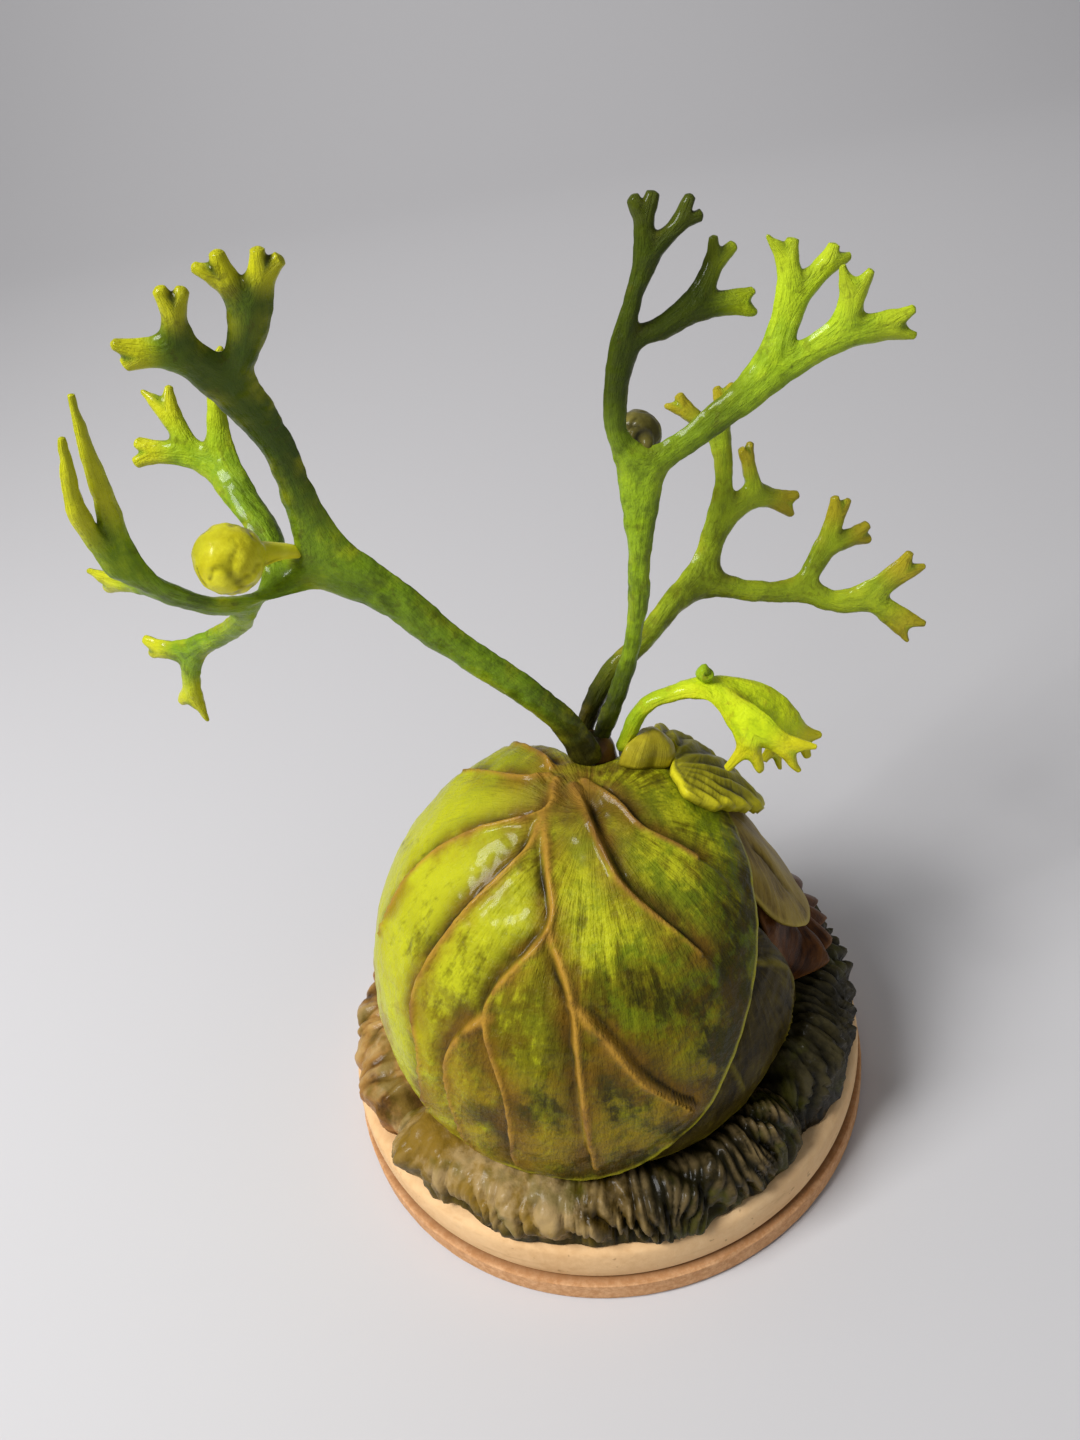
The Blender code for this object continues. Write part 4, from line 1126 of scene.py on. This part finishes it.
def under_shields():
    """The shields in the layers under the front one."""
    deep_green = leaf_paint("under_shield_paint", (0.040, 0.065, 0.005), (0.12, 0.16, 0.008),
                            (0.27, 0.31, 0.014), (0.42, 0.38, 0.03))
    olive = leaf_paint("olive_paint", (0.018, 0.012, 0.002), (0.055, 0.038, 0.004), (0.13, 0.10, 0.008),
                       (0.32, 0.26, 0.014), coat=0.0)
    hub = (175, 48)
    outline = ((-180, 34), (-120, 56), (-70, 88), (-45, 90), (0, 66), (45, 90), (70, 88), (120, 56))
    veins = fan_veins(hub, (-150, -100, -62, -25, 12, 48, 92, 140), 66)
    leaf("veined_back_shield", "back_shield", hub, outline, layer(0), veined(veins), deep_green,
         grid=(150, 54), wavy=1.0)
    hub = (-125, 40)
    outline = ((-180, 25), (-120, 34), (-60, 56), (0, 68), (60, 56), (120, 36))
    veins = fan_veins(hub, (-110, -62, -22, 15, 55, 105), 52)
    leaf("veined_left_shield", "left_shield", hub, outline, layer(1), veined(veins), deep_green,
         grid=(130, 46), wavy=1.0)
    outline = ((-180, 26), (-120, 28), (-67, 46), (-42, 60), (-16, 52), (8, 50), (34, 47), (47, 27),
               (71, 14), (100, 11), (140, 16))
    veins = fan_veins((42, 40), (-60, -20, 20, 50), 52)
    faint = veined(veins, height=0.6, crease_depth=0.5, drop=0.3, terrace=0.4)
    leaf("olive_under_shield", "olive_shield", (42, 55), outline, layer(2), faint, olive,
         grid=(170, 56), wavy=0.8)


def other_leaves():
    """Dead fronds and dry shield to the right, front shield, then fan leaf and bud on top of it."""
    green = shield_paint()
    rust = leaf_paint("rust_paint", (0.032, 0.010, 0.003), (0.10, 0.034, 0.007), (0.20, 0.080, 0.02),
                      (0.20, 0.08, 0.02))
    brown = leaf_paint("brown_paint", (0.018, 0.009, 0.003), (0.060, 0.030, 0.010), (0.13, 0.07, 0.025),
                       (0.15, 0.085, 0.03))
    tan = leaf_paint("dry_paint", (0.17, 0.105, 0.015), (0.34, 0.235, 0.042), (0.47, 0.35, 0.085),
                     (0.50, 0.38, 0.06), patch=34.0, gloss=0.42)
    fan_paint = leaf_paint("fan_paint", (0.14, 0.125, 0.008), (0.30, 0.27, 0.017), (0.46, 0.42, 0.02),
                           (0.68, 0.61, 0.02))
    bud_paint = leaf_paint("bud_paint", (0.17, 0.115, 0.008), (0.40, 0.33, 0.018), (0.56, 0.48, 0.03),
                           (0.58, 0.45, 0.04), brushed=0.3, coat=0.2)
    outline = ((-180, 18), (-90, 30), (-45, 34), (0, 38), (45, 25), (90, 18))
    leaf("folded_rust_frond", "rust_dead_frond", (92, 74), outline, layer(1),
         folded(15), rust, grid=(220, 44), wavy=1.5,
         lift=flare(RUST_FLARE, start=72, end=93, edge=OLIVE_EDGE))
    outline = ((-180, 18), (-90, 19), (-45, 27), (0, 40), (45, 30), (90, 24))
    leaf("folded_brown_frond", "brown_dead_frond", (138, 74), outline, layer(1),
         folded(13), brown, grid=(200, 44), wavy=1.5,
         lift=flare(BROWN_FLARE, start=76, end=95, edge=OLIVE_EDGE))
    outline = ((-180, 20), (-113, 17), (-80, 24), (-55, 32), (-45, 35), (-19, 40), (0, 38), (25, 36),
               (55, 34), (110, 24))
    leaf("dry_tan_shield", "dry_shield", (95, 42), outline, layer(2), dry_surface, tan,
         grid=(160, 52), wavy=0.4, lift=flare(DRY_FLARE, start=62, end=81, edge=FRONT_EDGE))
    outline = ((-167, 66), (-140, 96), (-116, 113), (-91, 108), (-76, 105), (-57, 100), (-43, 94), (-27, 89),
               (-14, 82), (-2, 74), (12, 62), (31, 50), (54, 42), (74, 39), (107, 40), (139, 35), (167, 37),
               (176, 46))
    leaf("veined_front_shield", "front_shield", (20, 14), outline, layer(3), veined(FRONT_VEINS, hub=(20, 6)),
         green, grid=(440, 160), wavy=0.8, crown_radius=MOUND_RADIUS)
    outline = ((-180, 7), (-161, 11), (-141, 17), (-130, 20), (-118, 20), (-95, 18), (-59, 17), (-11, 21),
               (10, 17), (52, 13), (89, 15), (110, 14), (140, 9))
    pleats = pleated(count=26, height=1.3, hinge=(95, 22), lip_from=0.82)
    leaf("pleated_fan_leaf", "fan_leaf", (110, 38), outline, TOP_LAYER, pleats, fan_paint,
         grid=(300, 44), wavy=1.4, lift=tilted(FAN_TILT, start=95, end=140))
    outline = ((-180, 8.5), (-90, 4.6), (0, 8), (90, 4.6))
    leaf("lumpy_bud", "shield_bud", (109, 21.5), outline, TOP_LAYER, bud_surface, bud_paint,
         grid=(64, 22))


class FrondMesh:
    """Points, faces and painter's marks of one forked frond, grown from its foot."""

    def __init__(self):
        self.points, self.faces, self.crotches, self.tops, self.keen = [], [], [], [], []
        self.marks = {"along": [], "rim": [], "tip": [], "fork": [], "brush": []}

    def add(self, point, along, rim=0.0, tip=0.0, fork=0.0, turn=0.0, keen=0.0):
        """One point with its marks; gives its number."""
        self.points.append(point)
        self.keen.append(keen)
        rise = along * FROND_LENGTH / STEM_STROKE
        stroke = (STEM_SWEEP * math.cos(turn), STEM_SWEEP * math.sin(turn), rise)
        for mark, value in zip(self.marks, (along, rim, tip, fork, stroke)):
            self.marks[mark].append(value)
        return len(self.points) - 1

    def ring(self, centre, across, through, half_width, half_depth, along, tip=0.0, end=False):
        """A ring of points round a limb, with keen edges at its two sides."""
        found = []
        wide, deep = half_width * SMOOTHING_LOSS, half_depth * SMOOTHING_LOSS
        for k, a in enumerate(ring_angles(LIMB_SIDES)):
            spot = centre + across * (wide * math.cos(a)) + through * (deep * math.sin(a))
            keen = EDGE_KEENNESS if k % 4 == 0 else TIP_KEENNESS if end else 0.0
            found.append(self.add(spot, along, abs(math.cos(a)) ** 2, tip, 0.0, a, keen))
        return found


def smooth_path(places):
    """(point, width) stations on a curve through the places, about a ring step apart."""
    points = [Vector(place[:3]) for place in places]
    stations = [(points[0], places[0][3])]
    for k in range(len(points) - 1):
        pieces = max(1, round((points[k + 1] - points[k]).length / RING_STEP))
        for step in range(1, pieces + 1):
            t = step / pieces
            width = places[k][3] + (places[k + 1][3] - places[k][3]) * t
            stations.append((curve_point(points, k, t), width))
    return stations


def tip_limbs(end, heading, across, width, length):
    """Two short uneven tips at the end of a limb."""
    made = []
    for sign in (1, -1):
        way = heading * math.cos(TIP_SPREAD) + across * (sign * math.sin(TIP_SPREAD))
        chance = noise.noise(end / 3 + across * sign)
        place = end + way * ((1 + chance) * length + width / 2)
        made.append(limb((*place, TIP_WIDTH * (1 - TIP_UNEVEN * chance))))
    return made


def grow(mesh, stretch, ring, origin, width, across, skip, depth, along=0.0):
    """Skin one limb onto a ring, then fork or close it."""
    path = smooth_path([(*origin, width), *stretch["points"]])
    spots = [spot for spot, _ in path]
    last = len(spots) - 1
    headings = [(spots[min(k + 1, last)] - spots[max(k - 1, 0)]).normalized() for k in range(last + 1)]
    axes = []
    for heading in headings:
        across = (across - heading * across.dot(heading)).normalized()
        axes.append(across)
    end, heading = spots[-1], headings[-1]
    forks = list(stretch["forks"])
    is_tip = not forks and not stretch["tips"]
    if stretch["tips"]:
        forks = tip_limbs(end, heading, axes[-1], path[-1][1], stretch["tips"])
    turn = 0.0
    if forks:
        ways = [(Vector(fork["points"][0][:3]) - end).normalized() for fork in forks]
        apart = ways[0] - ways[1]
        apart = (apart - heading * apart.dot(heading)).normalized()
        if apart.dot(axes[-1]) < 0:
            apart = -apart
            forks.reverse()
            ways.reverse()
        turn = math.atan2(heading.dot(axes[-1].cross(apart)), axes[-1].dot(apart))
    axis = across
    through = headings[0].cross(across)
    for k in range(1, len(path)):
        along += (spots[k] - spots[k - 1]).length / FROND_LENGTH
        if (spots[k] - origin).length < skip and k < last:
            continue
        axis = Quaternion(headings[k], turn * k / last) @ axes[k]
        through = headings[k].cross(axis)
        half_width = path[k][1] / 2
        half_depth = min(depth / 2, half_width)
        near_tip = 0.5 + 0.5 * k / last if is_tip else 0.65 * k / last if stretch["tips"] else 0.0
        after = mesh.ring(spots[k], axis, through, half_width, half_depth, along, near_tip,
                          end=is_tip and k == last)
        mesh.faces += skin(ring, after)
        ring = after
    if not forks:
        point = mesh.add(end + heading * (TIP_ROUND * TIP_WIDTH), along, rim=1.0, tip=1.0)
        mesh.faces += [(ring[k], ring[(k + 1) % LIMB_SIDES], point) for k in range(LIMB_SIDES)]
        return
    half_angle = max(NARROWEST_FORK, ways[0].angle(ways[1]) / 2)
    between = (ways[0] + ways[1]).normalized()
    start_widths = [min(path[-1][1] * FORK_SHARE, fork["points"][0][3] * FORK_FLARE) for fork in forks]
    reach = CROTCH * max(start_widths) / 2 / math.sin(half_angle)
    crotch = end + between * reach
    mesh.crotches.append((crotch, between))
    upward = through if through.z > 0 else -through
    mesh.tops.append((end + upward * (min(depth, path[-1][1]) / 2), upward))
    lift = through * (min(depth, path[-1][1]) * WEB_LIFT)
    web = crotch - between * (WEB_SETBACK * reach)
    front = mesh.add(web + lift, along, rim=0.2, fork=0.8)
    middle = mesh.add(crotch, along, rim=0.8, fork=1.0, keen=EDGE_KEENNESS)
    back = mesh.add(web - lift, along, rim=0.2, fork=0.8)
    limb_rings = ((ring[0], ring[1], ring[2], front, middle, back, ring[6], ring[7]),
                  (middle, front, ring[2], ring[3], ring[4], ring[5], ring[6], back))
    for fork, limb_ring, start_width in zip(forks, limb_rings, start_widths):
        gap = start_width / 2 / math.tan(half_angle) + WEB_LENGTH * start_width
        grow(mesh, fork, limb_ring, end, start_width, axis, gap, LIMB_THICKNESS, along)


def shifted(stretch, move):
    """The same limb with its points measured from the origin."""
    points = [(x + move.x, y + move.y, z + move.z, width) for x, y, z, width in stretch["points"]]
    forks = tuple(shifted(fork, move) for fork in stretch["forks"])
    return {"points": points, "forks": forks, "tips": stretch["tips"]}


def antler_frond(name, node, root, across, material):
    """A forked frond, smoothed and finger-pressed; gives the seats in its first fork and on top of it."""
    mesh = FrondMesh()
    placed = shifted(root, FROND_ORIGIN)
    x, y, _, width = placed["points"].pop(0)
    foot = Vector((x, y, CROWN.z - STEM_SINK))
    up = Vector((0, 0, 1))
    foot_ring = mesh.ring(foot, across, up.cross(across), width / 2, STEM_THICKNESS / 2, 0)
    grow(mesh, placed, foot_ring, foot, width, across, 0.0, STEM_THICKNESS)
    mesh.faces.append(tuple(foot_ring[::-1]))
    made = clay_piece(name, mesh.points, mesh.faces, material, node, mesh.marks, 3, mesh.keen)
    roughen(made, FROND_MARKS)
    return mesh.crotches[0], mesh.tops[0]


def spore_lobe(name, node, seat, centre, radius, stalk, material):
    """A cracked ball on a bent stalk that tapers onto its seat at a fork."""
    seat, between = seat
    start = seat - between * 0.6
    knee = start + between * (1.5 * stalk)
    centre = FROND_ORIGIN + Vector(centre)
    axis = (centre - knee).normalized()
    length = (centre - knee).length
    stations = [(start, between, 0.6 * stalk), (knee, between + axis, 0.75 * stalk)]
    neck = math.asin(min(0.95, 1.3 * stalk / radius))
    for k in range(BALL_STEPS + 1):
        angle = neck + (math.pi * 0.97 - neck) * k / BALL_STEPS
        along = length - radius * math.cos(angle)
        if along > stalk:
            stations.append((knee + axis * along, axis, radius * math.sin(angle)))
    across = axis.orthogonal()
    points, cracks = [], []
    for spot, heading, size in stations:
        heading = heading.normalized()
        across = (across - heading * across.dot(heading)).normalized()
        other = heading.cross(across)
        for a in ring_angles(BALL_SIDES):
            place = spot + across * (size * math.cos(a)) + other * (size * math.sin(a))
            crack = max(0.0, 1 - 9 * abs(noise.noise(place / 4.5))) * (noise.noise(place / 7 + axis) > -0.1)
            points.append(place - (place - centre).normalized() * (CRACK_DEPTH * crack))
            cracks.append(crack)
    faces = closed_sheet(len(stations), BALL_SIDES)
    # The crease mark paints shade into the cracks
    made = clay_piece(name, points, faces, material, node, {"crease": cracks}, levels=1)
    roughen(made, BALL_MARKS)


def crown_mound():
    """Lump of clay at the crown that the stems stand in."""
    waist = MOUND_RADIUS - 0.3
    profile = [(PLUG_RADIUS - 0.4, 0.0), (PLUG_RADIUS, 4.0), (PLUG_RADIUS, 8.0), (waist, 10.0),
               (waist, MOUND_TOP), (0.8 * MOUND_RADIUS, 18.6), (0.5 * MOUND_RADIUS, 19.6), (0.6, 20.0)]
    points, hub = [], []
    for radius, rise in profile:
        for a in ring_angles(MOUND_SIDES):
            spot = CROWN + Vector((math.cos(a), math.sin(a), 0)) * radius
            spot.z = PLUG_BOTTOM + rise
            points.append(spot + Vector((0, 0, 0.8 * noise.noise(spot / 3) if rise > MOUND_TOP else 0)))
            hub.append(min(1.0, radius / MOUND_RADIUS))
    faces = closed_sheet(len(profile), MOUND_SIDES)
    paint = Paint("crown_paint", (0.050, 0.026, 0.008), (0.13, 0.060, 0.018), (0.22, 0.13, 0.022), patch=90.0)
    paint.coat(ramp(paint.tree, paint.mark("hub"), 0.75, 0.35), (0.030, 0.022, 0.007))
    clay_piece("crown_mound", points, faces, paint.finish(), "crown_plug", {"hub": hub}, levels=1)


def fronds():
    """The four fronds and the spore balls on their forks."""
    green = frond_paint("antler_paint", (0.030, 0.028, 0.006), (0.090, 0.145, 0.006), (0.19, 0.31, 0.011),
                        (0.33, 0.46, 0.013), (0.60, 0.58, 0.013), (0.070, 0.050, 0.006), LEFT_ARM_SHADE)
    right_green = frond_paint("right_antler_paint", (0.026, 0.030, 0.005), (0.12, 0.18, 0.007),
                              (0.28, 0.42, 0.014), (0.46, 0.62, 0.020), (0.48, 0.58, 0.020),
                              (0.10, 0.095, 0.009), RIGHT_ARM_SHADE, tips_over=False)
    rear_green = frond_paint("rear_antler_paint", (0.030, 0.030, 0.006), (0.17, 0.21, 0.009),
                             (0.32, 0.42, 0.017), (0.44, 0.54, 0.020), (0.48, 0.38, 0.018),
                             (0.12, 0.10, 0.010))
    lime = frond_paint("young_frond_paint", (0.30, 0.44, 0.012), (0.48, 0.62, 0.012), (0.66, 0.79, 0.015),
                       (0.80, 0.84, 0.018), (0.72, 0.64, 0.016), (0.38, 0.30, 0.012))
    yellow = leaf_paint("spore_yellow_paint", (0.58, 0.52, 0.014), (0.74, 0.70, 0.028), (0.80, 0.78, 0.06),
                        (0.80, 0.78, 0.06), patch=90.0, brushed=0.0, coat=0.2)
    dull = leaf_paint("spore_brown_paint", (0.040, 0.034, 0.008), (0.11, 0.095, 0.02), (0.20, 0.17, 0.035),
                      (0.26, 0.21, 0.05), patch=90.0, brushed=0.0, coat=0.2)
    right, rearward = Vector((1, 0, 0)), Vector((0, 1, 0))
    left_seat, _ = antler_frond("forked_left_frond", "left_antler_frond", LEFT_FROND, right, green)
    right_seat, _ = antler_frond("forked_right_frond", "right_antler_frond", RIGHT_FROND, right, right_green)
    antler_frond("forked_rear_frond", "rear_antler_frond", REAR_FROND, right, rear_green)
    _, young_seat = antler_frond("drooping_young_frond", "young_frond", YOUNG_FROND, rearward, lime)
    spore_lobe("yellow_spore_ball", "left_spore_lobe", left_seat, (-65, -21, 79), 6.9, 2.0, yellow)
    spore_lobe("brown_spore_ball", "right_spore_lobe", right_seat, (20, 14, 75), 5.6, 1.8, dull)
    spore_lobe("young_stub", "young_lobe", young_seat, (28, -6, 23), 2.3, 2.2, lime)


def hidden_pieces():
    """Materials for the solids that stay: the core and the wires."""
    clay = plain_clay("raw_clay", (0.12, 0.075, 0.045), (0.22, 0.145, 0.09), (0.30, 0.21, 0.14))
    wire = plain_clay("armature_wire", (0.16, 0.15, 0.14), (0.36, 0.35, 0.34), (0.48, 0.47, 0.46))
    feed_all(wire.node_tree, wire.node_tree.nodes["Principled BSDF"], Metallic=1.0)
    for node in ("clay_core", "left_wire", "right_wire", "rear_wire", "young_wire"):
        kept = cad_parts[node].data.materials
        kept.clear()
        kept.append(clay if node == "clay_core" else wire)


# Studio

def paper_floor():
    """Pale floor that sweeps up behind the fern."""
    profile = [(-FLOOR_REACH, 0.0)]
    for k in range(SWEEP_STEPS + 1):
        turn = math.pi / 2 * k / SWEEP_STEPS
        profile.append((SWEEP_START + SWEEP_RADIUS * math.sin(turn), SWEEP_RADIUS * (1 - math.cos(turn))))
    profile.append((SWEEP_START + SWEEP_RADIUS, FLOOR_REACH))
    paper = bpy.data.meshes.new("floor")
    paper.from_pydata([(x, y, z - FLOOR_DROP) for y, z in profile for x in (-FLOOR_REACH, FLOOR_REACH)], [],
                      [(2 * k, 2 * k + 1, 2 * k + 3, 2 * k + 2) for k in range(len(profile) - 1)])
    paper.shade_smooth()
    floor = bpy.data.objects.new("floor", paper)
    bpy.context.scene.collection.objects.link(floor)
    matt = bpy.data.materials.new("pale_paper")
    matt.use_nodes = True
    feed_all(matt.node_tree, matt.node_tree.nodes["Principled BSDF"], Base_Color=PAPER_COLOUR,
             Roughness=PAPER_ROUGHNESS)
    paper.materials.append(matt)


def lights():
    """Dim sky, a window to the upper left, a weak fill from the right and a lamp on the sweep."""
    world = bpy.data.worlds.new("studio")
    world.use_nodes = True
    feed_all(world.node_tree, world.node_tree.nodes["Background"], Color=SKY_COLOUR, Strength=SKY_STRENGTH)
    bpy.context.scene.world = world
    for name, place, size, power, aim in LAMPS:
        lamp = bpy.data.lights.new(name, "AREA")
        lamp.size = size
        lamp.energy = power
        holder = bpy.data.objects.new(name, lamp)
        holder.location = place
        holder.rotation_mode = "QUATERNION"
        holder.rotation_quaternion = (aim - place).to_track_quat("-Z", "Y")
        bpy.context.scene.collection.objects.link(holder)


def camera():
    """Camera that took the photograph's view."""
    lens = bpy.data.cameras.new("camera")
    lens.lens = LENS
    lens.clip_start = NEAR_CLIP * MM
    taker = bpy.data.objects.new("camera", lens)
    pitch, roll = math.radians(PITCH), math.radians(ROLL)
    forward = Vector((0, math.cos(pitch), -math.sin(pitch)))
    right = Vector((1, 0, 0))
    down = forward.cross(right)
    side = right * math.cos(roll) + down * math.sin(roll)
    up = right * math.sin(roll) - down * math.cos(roll)
    turned = Matrix((side, up, -forward)).transposed()
    taker.matrix_world = Matrix.Translation(Vector(EYE) * MM) @ turned.to_4x4()
    bpy.context.scene.collection.objects.link(taker)
    bpy.context.scene.camera = taker
    bpy.context.scene.view_settings.view_transform = "Standard"


wooden_base()
collars()
under_shields()
other_leaves()
crown_mound()
fronds()
hidden_pieces()
paper_floor()
lights()
camera()
